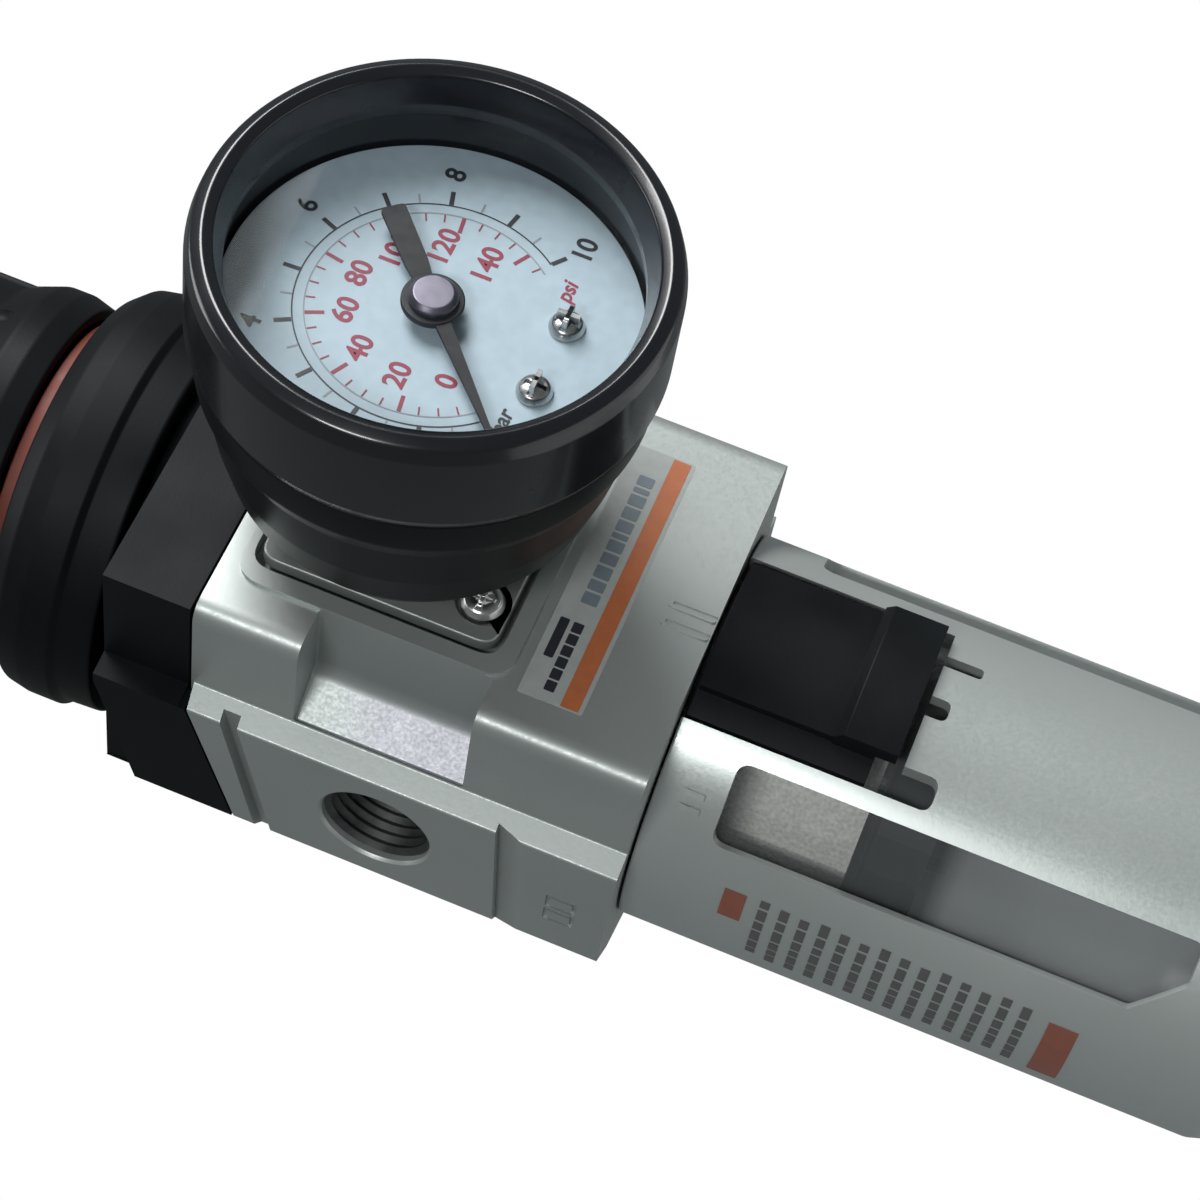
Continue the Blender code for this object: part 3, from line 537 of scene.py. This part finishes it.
def side_prism(name, outline, near, far, side, material):
    """An outline of (y, z) points drawn from x=near to x=far on one side."""
    turn = Matrix(((0, 0, 1, 0), (1, 0, 0, 0), (0, 1, 0, 0), (0, 0, 0, 1)))
    low, high = (near, far) if side > 0 else (-far, -near)
    return slab(name, outline, low, high, material, turn)


def facing_front(x, z):
    """Stands a shape made about Z on the axis that runs forward through (x, z)."""
    return Matrix.Translation((x, 0, z)) @ FACE_FRONT


def mirrored(outline, side):
    """The outline on the right side, or its mirror image, turned the same way round, on the left."""
    if side > 0:
        return outline
    return [(-point[0], *point[1:]) for point in reversed(outline)]


def body_outline():
    """Section of the cast body, with rounded front corners and a tapering rear."""
    right = [(FRONT_HALF, FRONT_Y, 2.6), (FRONT_HALF, -8.1, 0.4), (PORT_HALF, -6.7, 0.5),
             (PORT_HALF, 13.2, 1.0), (21.5, 18.5, 4.0), (14.0, REAR_Y, 4.0)]
    return right + mirrored(right, -1)


def pocket_cutter(side):
    """Scooped side pocket between the front block's two ends."""
    inner, outer, clear = 17.6, 30.0, -26.0
    outline = [(inner, clear), (inner, -11.4, 3.0), (22.9, -7.2, 0.4), (FRONT_HALF, -8.3), (outer, -8.3),
               (outer, clear)]
    return soft_cutter("pocket", mirrored(outline, side), -8.6, 11.7, 0.9)


def soft_cutter(name, outline, bottom, top, radius):
    """A cutter whose floor edges are rounded, so that it leaves rounded inner corners."""
    cutter = slab(name, outline, bottom, top, PAINT)
    edge = cutter.modifiers.new("Edges", "BEVEL")
    edge.width = radius * MM
    edge.segments = 4
    edge.limit_method = "ANGLE"
    edge.angle_limit = math.radians(60)
    return apply_all(cutter)


def along_port(name, profile, side, material, **options):
    """A shape turned about the port axis from (radius, distance from the middle)."""
    turn = Matrix.Translation((0, PORT_Y, 0)) @ Matrix.Rotation(math.radians(90 * side), 4, "Y")
    return lathe(name, profile, material, matrix=turn, **options)


def side_cutters(side):
    """Cutters for one side: pocket, clamp groove, bonnet's parting line, ramp and port bore."""
    beyond = 28.5
    groove = [(-8.0, 17.4), (16.2, 11.7), (16.2, 13.8), (-8.0, 19.5)]
    parting = [(-9.0, 23.9), (16.2, 16.1), (16.2, 30.0), (-9.0, 30.0)]
    ramp = [(25.4, -14.3), (26.55, -17.8), (beyond, -17.8), (beyond, -14.3)]
    lean = Matrix.Rotation(math.radians(-4.0), 4, "X") @ STAND_FRONT
    bore = [(0, beyond), (8.4, beyond), (PORT_R, 26.1), (PORT_R, 10.0), (0, 10.0)]
    return [
        pocket_cutter(side),
        side_prism("groove", groove, 25.0, beyond, side, BODY_PAINT),
        side_prism("over", parting, FRONT_HALF, beyond, side, BODY_PAINT),
        slab("ramp", mirrored(ramp, side), -30, 30, BODY_PAINT, lean),
        along_port("bore", bore, side, BODY_PAINT, steps=64)]


def make_body():
    """Cast body with rounded corners, side pockets, clamp grooves, ports and the gauge plate's seat."""
    sharp = 28.0
    body = slab("body_shell", body_outline(), BODY_BOTTOM, BODY_TOP, BODY_PAINT)
    rim_outline = rounded_rectangle(-17.7, PLATE_Z - 16.5, 17.7, PLATE_Z + 15.6, 3.4)
    rim = front_slab("rim", rim_outline, FRONT_Y + 2.0, FRONT_Y - 0.55, BODY_PAINT)
    boss_turn = Matrix.Translation((0, 0, GAUGE_Z)) @ Matrix.Rotation(math.radians(-90), 4, "X")
    boss = lathe("boss", [(0, 23.7), (8.0, 23.7), (8.0, 20.0), (0, 20.0)], BODY_PAINT, matrix=boss_turn)
    carve(body, rim, boss, mode="UNION")
    seat_outline = rounded_rectangle(-15.6, PLATE_Z - 14.6, 15.6, PLATE_Z + 14.6, 2.6)
    seat = front_slab("seat", seat_outline, FRONT_Y + 1.6, FRONT_Y - 4.0, BODY_PAINT)
    carve(body, seat, *side_cutters(-1), *side_cutters(1), *body_hollows())
    tidy_sharp(body, sharp)
    soften(body, 0.42, 4, sharp)
    carve(body, *square_marks(-1), *square_marks(1))
    body.data.shade_smooth()
    body.data.set_sharp_from_angle(angle=math.radians(sharp))
    even_shading(body)
    place(body, "root", "cast_metal", "body_casting")
    make_port_threads()


def rod(name, radius, start, end, material):
    """A straight cylinder between two points."""
    along = Vector(end) - Vector(start)
    turn = Matrix.Translation(start) @ along.to_track_quat("Z", "Y").to_matrix().to_4x4()
    profile = [(0, 0), (radius, 0), (radius, along.length), (0, along.length)]
    return lathe(name, profile, material, steps=48, matrix=turn)


def body_hollows():
    """Cutters for the spaces inside the body, each a radius and two ends."""
    holes = [
        (21.3, (0, 0, -30.2), (0, 0, -13.0)),                 # bowl seat
        (7.5, (0, 0, -20), (0, 0, -1)),                       # valve chamber
        (4.2, (0, 0, -3), (0, 0, 20)),                        # valve seat
        (15.4, (0, 0, 16.5), (0, 0, 30)),                     # diaphragm chamber
        (17.2, (0, 0, 21.5), (0, 0, 31)),                     # diaphragm seat
        (3.4, (-14, PORT_Y, 0), (-14, PORT_Y, -16)),          # inlet's way down
        (3.4, (13.0, 0, 0), (13.0, 0, 20)),                   # outlet's way up
        (2.4, (14, 1.0, 3.9), (2, 0, 3.9)),                   # valve to outlet
        (3.2, (0, -26, GAUGE_Z), (0, -2, GAUGE_Z)),           # gauge port
        (5.2, (0, 25.5, GAUGE_Z), (0, 12, GAUGE_Z)),          # rear gauge port
        (3.0, (0, 14, GAUGE_Z), (0, 2, GAUGE_Z))]             # way to the rear gauge port
    for x, y in BONNET_SCREWS:
        holes.append((2.0, (x, y, 13.5), (x, y, 32)))
    for x, rise in PLATE_SCREWS:
        holes.append((1.6, (x, -26, PLATE_Z + rise), (x, -16.7, PLATE_Z + rise)))
    return [rod("hollow", radius, start, end, BODY_PAINT) for radius, start, end in holes]


def make_port_threads():
    """Ridged sleeve inside each port, in place of a helical thread, in near-black metal as painted shade for
    the deep bore.
    """
    outer = PORT_R - 0.01
    for side, name in ((-1, "inlet_thread"), (1, "outlet_thread")):
        profile = [(outer, THREAD_MOUTH)]
        x = THREAD_MOUTH
        while x > 13.0:
            profile.append((THREAD_R, x - THREAD_PITCH * 0.45))
            profile.append((THREAD_R, x - THREAD_PITCH * 0.55))
            profile.append((6.5, x - THREAD_PITCH))
            x -= THREAD_PITCH
        profile += [(outer, x), (outer, 20.0)]
        thread = along_port(name, profile, side, SHADED_THREAD_METAL, ring=True, steps=96, angle=25.0)
        place(thread, "root", "cast_metal")


def square_marks(side):
    """Cutters for two small square lines near the bowl end of a port side."""
    marks = []
    for y in (2.2, 5.2):
        outer = rounded_rectangle(y, -24.6, y + 2.6, -20.9, 0.3)
        inner = rounded_rectangle(y + 0.5, -24.1, y + 2.1, -21.4, 0.2)
        mark = side_prism("mark", outer, 26.2, 27.5, side, PAINT)
        carve(mark, side_prism("hollow", inner, 26.0, 28.0, side, PAINT))
        marks.append(mark)
    return marks


def make_plate():
    """Plate between body and gauge, set in the rim, with a sunk corner for each screw."""
    outline = rounded_rectangle(-14.7, PLATE_Z - 13.8, 14.7, PLATE_Z + 13.8, 2.2)
    plate = front_slab("adapter_plate", outline, -22.2, PLATE_FRONT, PLATE_GREY)
    sink = [(0, 25.0), (3.0, 25.0), (3.0, 23.2), (0, 23.2)]
    cutters = []
    for x, rise in PLATE_SCREWS:
        cutters.append(lathe("sink", sink, PLATE_GREY, steps=48, matrix=facing_front(x, PLATE_Z + rise)))
    carve(plate, *cutters)
    tidy_sharp(plate)
    soften(plate, 0.35)
    place(plate, "root", "plate_grey", "gauge_adapter_plate")


def make_bonnet():
    refine("bonnet", BLACK, 0.6, 3, 28.0)


def make_panel_nut():
    nut = lathe("panel_nut_ring", [
        (20.6, 50.4, 0.4), (22.6, 49.8, 1.2), (24.5, 47.6, 1.4), (25.0, 45.0, 1.5), (25.0, 41.3, 0.5),
        (24.3, 40.6, 0.4), (24.1, 36.4, 0.5), (18.1, 36.4), (18.1, 45.6), (20.6, 45.6)], BLACK, ring=True)
    place(nut, "root", "black_plastic", "panel_nut")


def make_knob():
    """Adjusting knob with long grip flutes over a smooth skirt."""
    knob = lathe("knob_grip", [
        (0, 86.0), (16.5, 86.0, 1.5), (19.6, 83.0, 2.0), (19.6, 62.0, 2.0), (21.0, 58.2, 2.0),
        (21.0, 55.5, 2.0), (20.2, 52.6, 0.5), (19.0, 52.6), (19.0, 57.0), (17.2, 57.0), (17.2, 82.6),
        (0, 82.6)], BLACK, steps=192)
    flute = [(0, 88.0), (1.7, 88.0), (1.7, 61.6), (1.0, 59.9, 0.8), (0, 59.9)]
    count = 12
    cutters = []
    for index in range(count):
        turn = 2 * math.pi * (index + 0.5) / count
        middle = Matrix.Rotation(turn, 4, "Z") @ Matrix.Translation((20.6, 0, 0))
        cutters.append(lathe("flute", flute, BLACK, steps=32, matrix=middle))
    carve(knob, *cutters)
    tidy_sharp(knob, 40.0)
    soften(knob, 0.3, 3, 38.0)
    place(knob, "knob", "black_plastic", "knob")
    disc = [(0, 87.1), (9.0, 87.1, 0.3), (10.0, 86.5, 0.2), (10.0, 86.3), (0, 86.3)]
    cap = lathe("knob_cap_disc", disc, ENAMEL)
    place(cap, "knob", "gauge_black", "knob_cap")


def make_lock_band():
    profile = [(18.7, 52.3, 0.3), (18.7, 46.0), (18.15, 46.0), (18.15, 52.3)]
    # The band's dark red is painted shade under the panel nut.
    band = lathe("lock_band_ring", profile, SHADED_BAND_ORANGE, ring=True)
    place(band, "root", "lock_orange", "lock_band")


# Gauge


def make_gauge():
    """Case, bezel, window and dial, each a profile of radius and distance in front of the main axis."""
    spin = facing_front(0, GAUGE_Z)
    case = lathe("gauge_case_shell", [
        (24.6, 53.9, 0.2), (24.2, 49.0, 3.0), (23.3, 46.8, 3.0), (22.0, 39.5, 6.0), (20.6, 34.0, 2.0),
        (18.9, 31.1, 1.6), (16.4, 29.7, 1.0), (6.6, 29.7), (6.6, 31.4), (16.4, 31.4), (18.8, 35.4),
        (21.6, 46.0), (22.8, 53.9)], CASE_BLACK, ring=True, matrix=spin)
    place(case, "root", "gauge_black", "gauge_case")
    bezel = lathe("gauge_bezel_ring", [
        (23.4, 68.0, 0.6), (24.7, 67.3, 1.0), (25.2, 65.6, 1.2), (25.2, 55.6, 0.5), (24.7, 54.2, 0.3),
        (22.5, 54.2), (22.5, 62.4), (21.3, 62.4, 0.3), (21.3, 63.9, 0.6), (22.3, 67.4, 0.6)],
        ENAMEL, ring=True, matrix=spin)
    place(bezel, "root", "gauge_black", "gauge_bezel")
    pane = [(0, 62.1), (22.2, 62.1, 0.1), (22.2, 60.6, 0.1), (0, 60.6)]
    glass = lathe("gauge_window_pane", pane, GLASS, matrix=spin)
    place(glass, "root", "glass", "gauge_window")
    disc = [(1.7, -DIAL_Y), (22.1, -DIAL_Y, 0.1), (22.1, 55.7), (1.7, 55.7)]
    dial = lathe("dial_disc", disc, DIAL_WHITE, ring=True, matrix=spin)
    place(dial, "root", "dial_white", "gauge_dial")


def polar(radius, degrees):
    """A point on the dial, from the gauge axis, with degrees clockwise from the top."""
    turn = math.radians(degrees)
    return radius * math.sin(turn), radius * math.cos(turn)


def dial_matrix():
    """Lays flat print on the dial's face."""
    return Matrix.Translation((0, DIAL_Y - DIAL_PRINT_LIFT, GAUGE_Z)) @ FACE_FRONT


def ticks(name, angles, inner, outer, width, material):
    marks = []
    for angle in angles:
        ends = [polar(inner, angle), polar(outer, angle)]
        marks.append(stroke("tick", ends, width, material, dial_matrix()))
    return place(merge(name, marks), "root", "dial_white")


def arc(name, radius, start, end, width, material):
    points = [polar(radius, start + (end - start) * step / 90) for step in range(91)]
    return place(stroke(name, points, width, material, dial_matrix()), "root", "dial_white")


def figures(name, entries, size, material):
    """Numbers at dial places given as (words, radius, angle)."""
    made = []
    for words, radius, angle in entries:
        spot = dial_matrix() @ Matrix.Translation((*polar(radius, angle), 0))
        made.append(lettering("figure", words, size, spot, material))
    return place(merge(name, made), "root", "dial_white")


def make_dial_print():
    bar_angles = [ZERO_ANGLE + BAR_STEP * bar for bar in range(11)]
    psi_step = BAR_STEP * BAR_PER_PSI
    psi_angles = [ZERO_ANGLE + psi_step * psi for psi in range(0, 146, 20)]
    ticks("bar_ticks", bar_angles, 14.3, 16.1, 0.5, INK_BLACK)
    halves = [angle + BAR_STEP / 2 for angle in bar_angles[:-1]]
    ticks("bar_half_ticks", halves, 14.3, 15.5, 0.22, INK_GREY)
    ticks("psi_ticks", psi_angles, 10.9, 12.9, 0.42, INK_RED)
    small = [ZERO_ANGLE + psi_step * psi for psi in range(0, 146, 5) if psi % 20]
    ticks("psi_small_ticks", small, 11.9, 12.9, 0.18, INK_RED)
    arc("bar_arc", 14.2, ZERO_ANGLE, bar_angles[-1], 0.16, INK_BLACK)
    arc("psi_arc", 13.0, ZERO_ANGLE, ZERO_ANGLE + psi_step * 147, 0.14, INK_GREY)
    bars = [(str(bar), 18.4 if bar else 17.2, ZERO_ANGLE + BAR_STEP * bar) for bar in range(0, 11, 2)]
    figures("bar_figures", bars, 3.1, INK_BLACK)
    psis = [(str(psi), 8.7, (ZERO_ANGLE + psi_step * psi) * 0.92) for psi in range(0, 141, 20)]
    figures("psi_figures", psis, 3.2, INK_RED)
    for name, words, x, ink in (("bar_unit", "bar", -9.6, INK_BLACK), ("psi_unit", "psi", 8.6, INK_RED)):
        spot = dial_matrix() @ Matrix.Translation((x, -11.6, 0))
        place(lettering(name, words, 2.4, spot, ink, 0.2), "root", "dial_white")


def make_pointer():
    """Needle, paddle tail and hub, drawn pointing up and then leaned to the reading."""
    needle = [(-0.9, -2.0), (0.9, -2.0), (0.85, 2.0), (0.27, 17.2), (-0.27, 17.2), (-0.85, 2.0)]
    tail = [(0.9, -2.0), (1.25, -5.0), (1.35, -12.6, 0.5), (-1.35, -12.6, 0.5), (-1.25, -5.0), (-0.9, -2.0)]
    lean = Matrix.Rotation(math.radians(POINTER_ANGLE), 4, "Y") @ STAND_FRONT
    stand = Matrix.Translation((0, 0, GAUGE_Z)) @ lean
    blade = slab("pointer_needle", needle, POINTER_BACK, POINTER_FRONT, POINTER_BLACK, stand)
    paddle = slab("pointer_paddle", tail, POINTER_BACK, POINTER_FRONT, POINTER_BLACK, stand)
    spin = facing_front(0, GAUGE_Z)
    collar = [(1.1, 58.95), (3.3, 58.95, 0.2), (3.3, 58.15, 0.2), (1.1, 58.15)]
    hub = lathe("pointer_boss", collar, POINTER_BLACK, ring=True, matrix=spin)
    place(merge("pointer_blade", [blade, paddle, hub]), "pointer", "gauge_black", "pointer")
    dome = [(0, 60.1), (2.1, 60.1, 0.3), (2.6, 59.6, 0.3), (2.6, 58.95), (0, 58.95)]
    place(lathe("pointer_hub", dome, HUB_STEEL, matrix=spin), "pointer", "steel")
    dress("pointer_shaft", HUB_STEEL)


def cross_head(name, x, z, profile, cross, node):
    """A screw head facing forward, cut by a cross given as arm, half width, front and floor."""
    arm, half, front, floor = cross
    head = lathe(name, profile, STEEL, matrix=facing_front(x, z), steps=48)
    level = box("slot", (x - arm, front, z - half), (x + arm, floor, z + half), STEEL)
    upright = box("slot", (x - half, front, z - arm), (x + half, floor, z + arm), STEEL)
    carve(head, level, upright)
    tidy_sharp(head)
    place(head, "root", "steel", node)


def make_dial_screws():
    profile = [(0, 58.0), (0.9, 57.95), (1.6, 57.5, 0.3), (1.9, 56.9, 0.1), (1.9, 56.6), (0, 56.6)]
    cross = (1.2, 0.25, -59, -57.3)
    for index, x in enumerate(DIAL_SCREW_XS, start=1):
        node = "dial_screw_%d" % index
        cross_head("dial_screw_head_%d" % index, x, DIAL_SCREW_Z, profile, cross, node)


def make_plate_screws():
    profile = [(0, 25.2), (1.2, 25.15), (2.1, 24.7, 0.4), (2.5, 24.0, 0.2), (2.5, 23.3), (0, 23.3)]
    cross = (1.6, 0.3, -27, -24.1)
    for index, (x, rise) in enumerate(PLATE_SCREWS, start=1):
        node = "gauge_plate_screw_%d" % index
        cross_head("plate_screw_head_%d" % index, x, PLATE_Z + rise, profile, cross, node)


# Bowl, guard and lock button


def make_guard():
    """Bowl guard with a window on each side, the lock button's recess and the slots below it."""
    guard = lathe("guard_sleeve", [
        (GUARD_R, GUARD_TOP, 0.3), (GUARD_R, -97.0, 3.0), (21.5, -102.5, 2.0), (16.5, GUARD_BOTTOM, 1.0),
        (9.0, GUARD_BOTTOM, 0.5), (9.0, -104.2), (15.6, -104.2), (19.9, -101.0), (GUARD_INNER_R, -96.0),
        (GUARD_INNER_R, GUARD_TOP)], LIT_GUARD_PAINT, ring=True, steps=192)
    window = [(-5.0, WINDOW_TOP, 1.6), (5.0, WINDOW_TOP, 1.6), (5.0, WINDOW_BOTTOM + 5.0, 0.8),
              (0.0, WINDOW_BOTTOM, 0.8), (-5.0, WINDOW_BOTTOM, 1.2)]
    cutters = []
    for side in (-1, 1):
        spin = Matrix.Rotation(math.radians(WINDOW_ANGLE * side), 4, "Z") @ STAND_FRONT
        cutters.append(slab("window", mirrored(window, side), 15.0, 27.0, LIT_GUARD_PAINT, spin))
    cutters.append(box("recess", (-11.8, -30, -52.8), (10.3, -17.0, -27), LIT_GUARD_PAINT))
    for x, half, low in ((-10.1, 1.7, -57.0), (-1.0, 1.3, -55.2), (5.6, 0.8, -57.2)):
        tip = [(x - half, -51), (x + half, -51), (x + half, low, half * 0.7), (x - half, low, half * 0.7)]
        cutters.append(front_slab("prong", tip[::-1], -17.5, -30, LIT_GUARD_PAINT))
    carve(guard, *cutters)
    tidy_sharp(guard, 40.0)
    soften(guard, 0.28, 3, 40.0)
    place(guard, "bowl_guard", "guard_silver", "bowl_guard")


def make_bowl():
    bowl = lathe("bowl_shell", [
        (18.9, -15.6, 0.3), (18.9, -18.3), (17.9, -18.3), (17.9, -20.8), (18.9, -20.8), (20.4, -23.0, 1.0),
        (20.4, -91.0, 3.0), (18.6, -96.4, 3.0), (14.0, -99.0, 1.0), (5.5, -99.8, 0.5), (5.5, -103.0, 0.5),
        (3.2, -103.0), (3.2, -97.0, 0.5), (13.0, -96.8, 1.0), (16.6, -94.4, 3.0), (18.5, -90.0, 3.0),
        (18.5, -25.0, 1.0), (17.2, -24.0), (17.2, -15.6)], BOWL_CLEAR, ring=True)
    place(bowl, "bowl", "clear_bowl", "bowl")


def latch_piece(name, profile, widths):
    """A turned section cut to a range of widths across the front."""
    piece = lathe(name, profile, BUTTON_BLACK, ring=True, steps=288)
    keep = box("keep", (widths[0], -32, -60), (widths[1], -15.0, -20.0), BUTTON_BLACK, 0.2)
    carve(piece, keep, mode="INTERSECT")
    return piece


def make_lock_button():
    """Sliding latch: a base strip, a raised panel and a thumb flange that rides over the guard."""
    strip = [(22.9, -28.9), (22.9, -49.5), (21.7, -49.5), (21.7, -28.9)]
    raised = [(23.9, -29.1), (23.9, -45.4), (22.1, -45.4), (22.1, -29.1)]
    lip = [(24.4, -44.6), (25.3, -45.6, 0.3), (25.3, -51.8), (23.6, -51.8), (23.6, -49.3), (22.3, -49.3),
           (22.3, -44.6)]
    button = latch_piece("lock_latch", strip, (-11.3, 9.8))
    panel = latch_piece("panel", raised, (-8.6, 8.6))
    flange = latch_piece("flange", lip, (-8.8, 9.4))
    carve(button, panel, flange, mode="UNION")
    tidy_sharp(button)
    soften(button, 0.3)
    place(button, "lock_button", "black_plastic", "lock_button")


def guard_patch(name, angles, heights, material, radius=GUARD_R + 0.04):
    """A thin printed patch wrapped on the guard, between two angles from the front and two heights."""
    bm = bmesh.new()
    rows = []
    count = max(2, int((angles[1] - angles[0]) / 1.5) + 1)
    for step in range(count):
        turn = math.radians(angles[0] + (angles[1] - angles[0]) * step / (count - 1))
        x = -radius * math.sin(turn)
        y = -radius * math.cos(turn)
        rows.append([bm.verts.new((x, y, heights[0])), bm.verts.new((x, y, heights[1]))])
    for first, second in zip(rows, rows[1:]):
        bm.faces.new([first[0], first[1], second[1], second[0]])
    inner = bmesh.ops.extrude_face_region(bm, geom=bm.faces[:])["geom"]
    moved = [item for item in inner if isinstance(item, bmesh.types.BMVert)]
    bmesh.ops.scale(bm, vec=(1.002, 1.002, 1.0), verts=moved)
    return finish_mesh(name, bm, material)


def make_guard_print():
    """Rows of plain dashes where the real guard has its printed notes, with a red block at each end."""
    red = [guard_patch("patch", (73.0, 84.0), (-42.0, -39.4), NOTE_RED),
           guard_patch("patch", (75.0, 103.0), (-80.8, -77.4), NOTE_RED)]
    place(merge("guard_note_blocks", red), "bowl_guard", "guard_silver")
    dashes = []
    for row in range(14):
        high = -43.6 - row * 2.35
        start = 72.5 + (row % 3) * 0.6
        for word in range(6):
            span = (2.6, 4.1, 3.2, 4.6, 3.5)[(word + row) % 5]
            dashes.append(guard_patch("patch", (start, start + span), (high - 1.1, high), NOTE_GREY))
            start += span + 1.1
    place(merge("guard_note_rows", dashes), "bowl_guard", "guard_silver")


def make_guard_ribs():
    ribs = []
    for angle in (49.0, 53.5):
        width = (angle - 0.9, angle + 0.9)
        ribs.append(guard_patch("rib", width, (-34.0, -31.6), LIT_GUARD_PAINT, GUARD_R + 0.25))
    place(merge("guard_ribs", ribs), "bowl_guard", "guard_silver")


# Finishes for the CAD nodes that keep their shape


def dress_rest():
    finishes = {
        STEEL: ("adjusting_screw", "spring_nut", "pressure_spring", "valve_spring", "rear_port_plug",
                "filter_stud", "bonnet_screw_1", "bonnet_screw_2", "bonnet_screw_3", "bonnet_screw_4"),
        BRASS: ("diaphragm_plate", "valve_poppet", "drain_stem", "gauge_socket", "bourdon_tube",
                "movement_plate", "sector_gear"),
        RUBBER: ("diaphragm", "bowl_o_ring", "drain_seal", "gauge_plate_seal"),
        BLACK: ("valve_guide", "filter_deflector", "baffle", "drain_knob"),
        SINTER: ("filter_element",)}
    for material, nodes in finishes.items():
        for node in nodes:
            dress(node, material)


def front_mark(name, low, high, material, slot, radius, lift):
    """A thin printed or raised rectangle on the body's front face, between two (x, z) corners."""
    outline = rounded_rectangle(low[0], low[1], high[0], high[1], radius)
    mark = front_slab(name, outline, FRONT_Y + 0.1, FRONT_Y - lift, material)
    return place(mark, "root", slot)


def make_label():
    """Label with an orange stripe and plain bars in place of its words."""
    front_mark("label_back", (-18.0, -18.9), (17.8, -11.4), LABEL_BASE, "lock_orange", 0.3, 0.03)
    front_mark("label_stripe", (-17.8, -18.4), (17.6, -16.3), ORANGE, "lock_orange", 0.1, 0.06)
    widths = (1.6, 1.4, 1.7, 1.5, 1.5, 0.7, 1.5, 1.6, 1.5, 0.7, 1.4)
    x = -4.6
    for index, width in enumerate(widths):
        corners = (x, -15.4), (x + width, -13.5)
        front_mark("label_bar_%d" % index, *corners, LABEL_BLUE, "lock_orange", 0.2, 0.06)
        x += width + 0.35
    front_mark("label_block_upper", (-12.6, -13.4), (-7.2, -12.3), INK_BLACK, "lock_orange", 0.2, 0.06)
    x = -16.6
    for index in range(6):
        corners = (x, -15.1), (x + 1.35, -13.9)
        front_mark("label_block_%d" % index, *corners, INK_BLACK, "lock_orange", 0.15, 0.06)
        x += 1.6


def make_front_ribs():
    """Two low outlined marks near the bowl end of the front face."""
    for index, x in enumerate((-2.9, -0.4)):
        ring = front_slab("front_rib_%d" % index, rounded_rectangle(x - 0.65, -28.0, x + 0.65, -22.4, 0.5),
                          FRONT_Y + 0.3, FRONT_Y - 0.22, PAINT)
        inner = rounded_rectangle(x - 0.25, -29.0, x + 0.25, -22.9, 0.2)
        carve(ring, front_slab("hollow", inner, FRONT_Y + 0.28, -30, PAINT))
        tidy_sharp(ring)
        place(ring, "root", "cast_metal")


# Stage, light and camera


def make_stage():
    bm = bmesh.new()
    bmesh.ops.create_circle(bm, cap_ends=True, segments=96, radius=150.0)
    bmesh.ops.translate(bm, vec=(0, 0, FLOOR_Z), verts=bm.verts)
    floor = finish_mesh("floor", bm, printed("floor_paint", (0.86, 0.86, 0.86), 0.8))


def soft_light(name, spot, target, size, power):
    """A plain white area light, placed in millimetres from the frame's origin."""
    data = bpy.data.lights.new(name, "AREA")
    data.shape = "RECTANGLE"
    data.size = size[0] * MM
    data.size_y = size[1] * MM
    data.energy = power
    lamp = bpy.data.objects.new(name, data)
    lamp.location = Vector(spot) * MM
    lamp.rotation_euler = (Vector(target) - Vector(spot)).to_track_quat("-Z", "Y").to_euler()
    bpy.context.scene.collection.objects.link(lamp)
    return lamp


def make_world():
    """Soft grey light from all round, seen as white by the camera."""
    world = bpy.data.worlds.new("studio")
    world.use_nodes = True
    nodes = world.node_tree.nodes
    links = world.node_tree.links
    back = nodes["Background"]
    back.inputs["Color"].default_value = (0.80, 0.86, 0.86, 1.0)
    back.inputs["Strength"].default_value = 0.22
    white = nodes.new("ShaderNodeBackground")
    white.inputs["Color"].default_value = (1.0, 1.0, 1.0, 1.0)
    white.inputs["Strength"].default_value = 1.0
    mix = nodes.new("ShaderNodeMixShader")
    rays = nodes.new("ShaderNodeLightPath")
    links.new(rays.outputs["Is Camera Ray"], mix.inputs["Fac"])
    links.new(back.outputs["Background"], mix.inputs[1])
    links.new(white.outputs["Background"], mix.inputs[2])
    links.new(mix.outputs["Shader"], nodes["World Output"].inputs["Surface"])
    bpy.context.scene.world = world
    bpy.context.scene.view_settings.view_transform = "Standard"


def make_camera():
    """Camera at the photographed viewing angle, from its own axes and place."""
    right = Vector((0.35885, -0.11269, -0.92657))
    down = Vector((-0.76658, 0.53077, -0.36144))
    forward = Vector((0.53253, 0.83999, 0.10409))
    place_mm = Vector((-195.41, -325.49 - PORT_Y, -52.92))
    data = bpy.data.cameras.new("camera")
    data.lens = 99.0
    data.sensor_width = 36.0
    data.clip_start = 0.01
    camera = bpy.data.objects.new("camera", data)
    turn = Matrix((right, -down, -forward)).transposed()
    camera.matrix_world = Matrix.Translation(place_mm * MM) @ turn.to_4x4()
    bpy.context.scene.collection.objects.link(camera)
    bpy.context.scene.camera = camera


make_body()
make_plate()
make_bonnet()
make_panel_nut()
make_lock_band()
make_knob()
make_gauge()
make_dial_print()
make_pointer()
make_dial_screws()
make_plate_screws()
make_guard()
make_bowl()
make_lock_button()
make_guard_print()
make_guard_ribs()
dress_rest()
make_label()
make_front_ribs()
make_stage()
make_world()
make_camera()
soft_light("key", (260, -520, 330), (0, 0, -10), (380, 300), 5.5)
soft_light("edge", (-470, -560, 120), (0, 0, -10), (90, 220), 2.0)
soft_light("top", (-60, -60, 620), (0, 0, 0), (300, 300), 1.2)
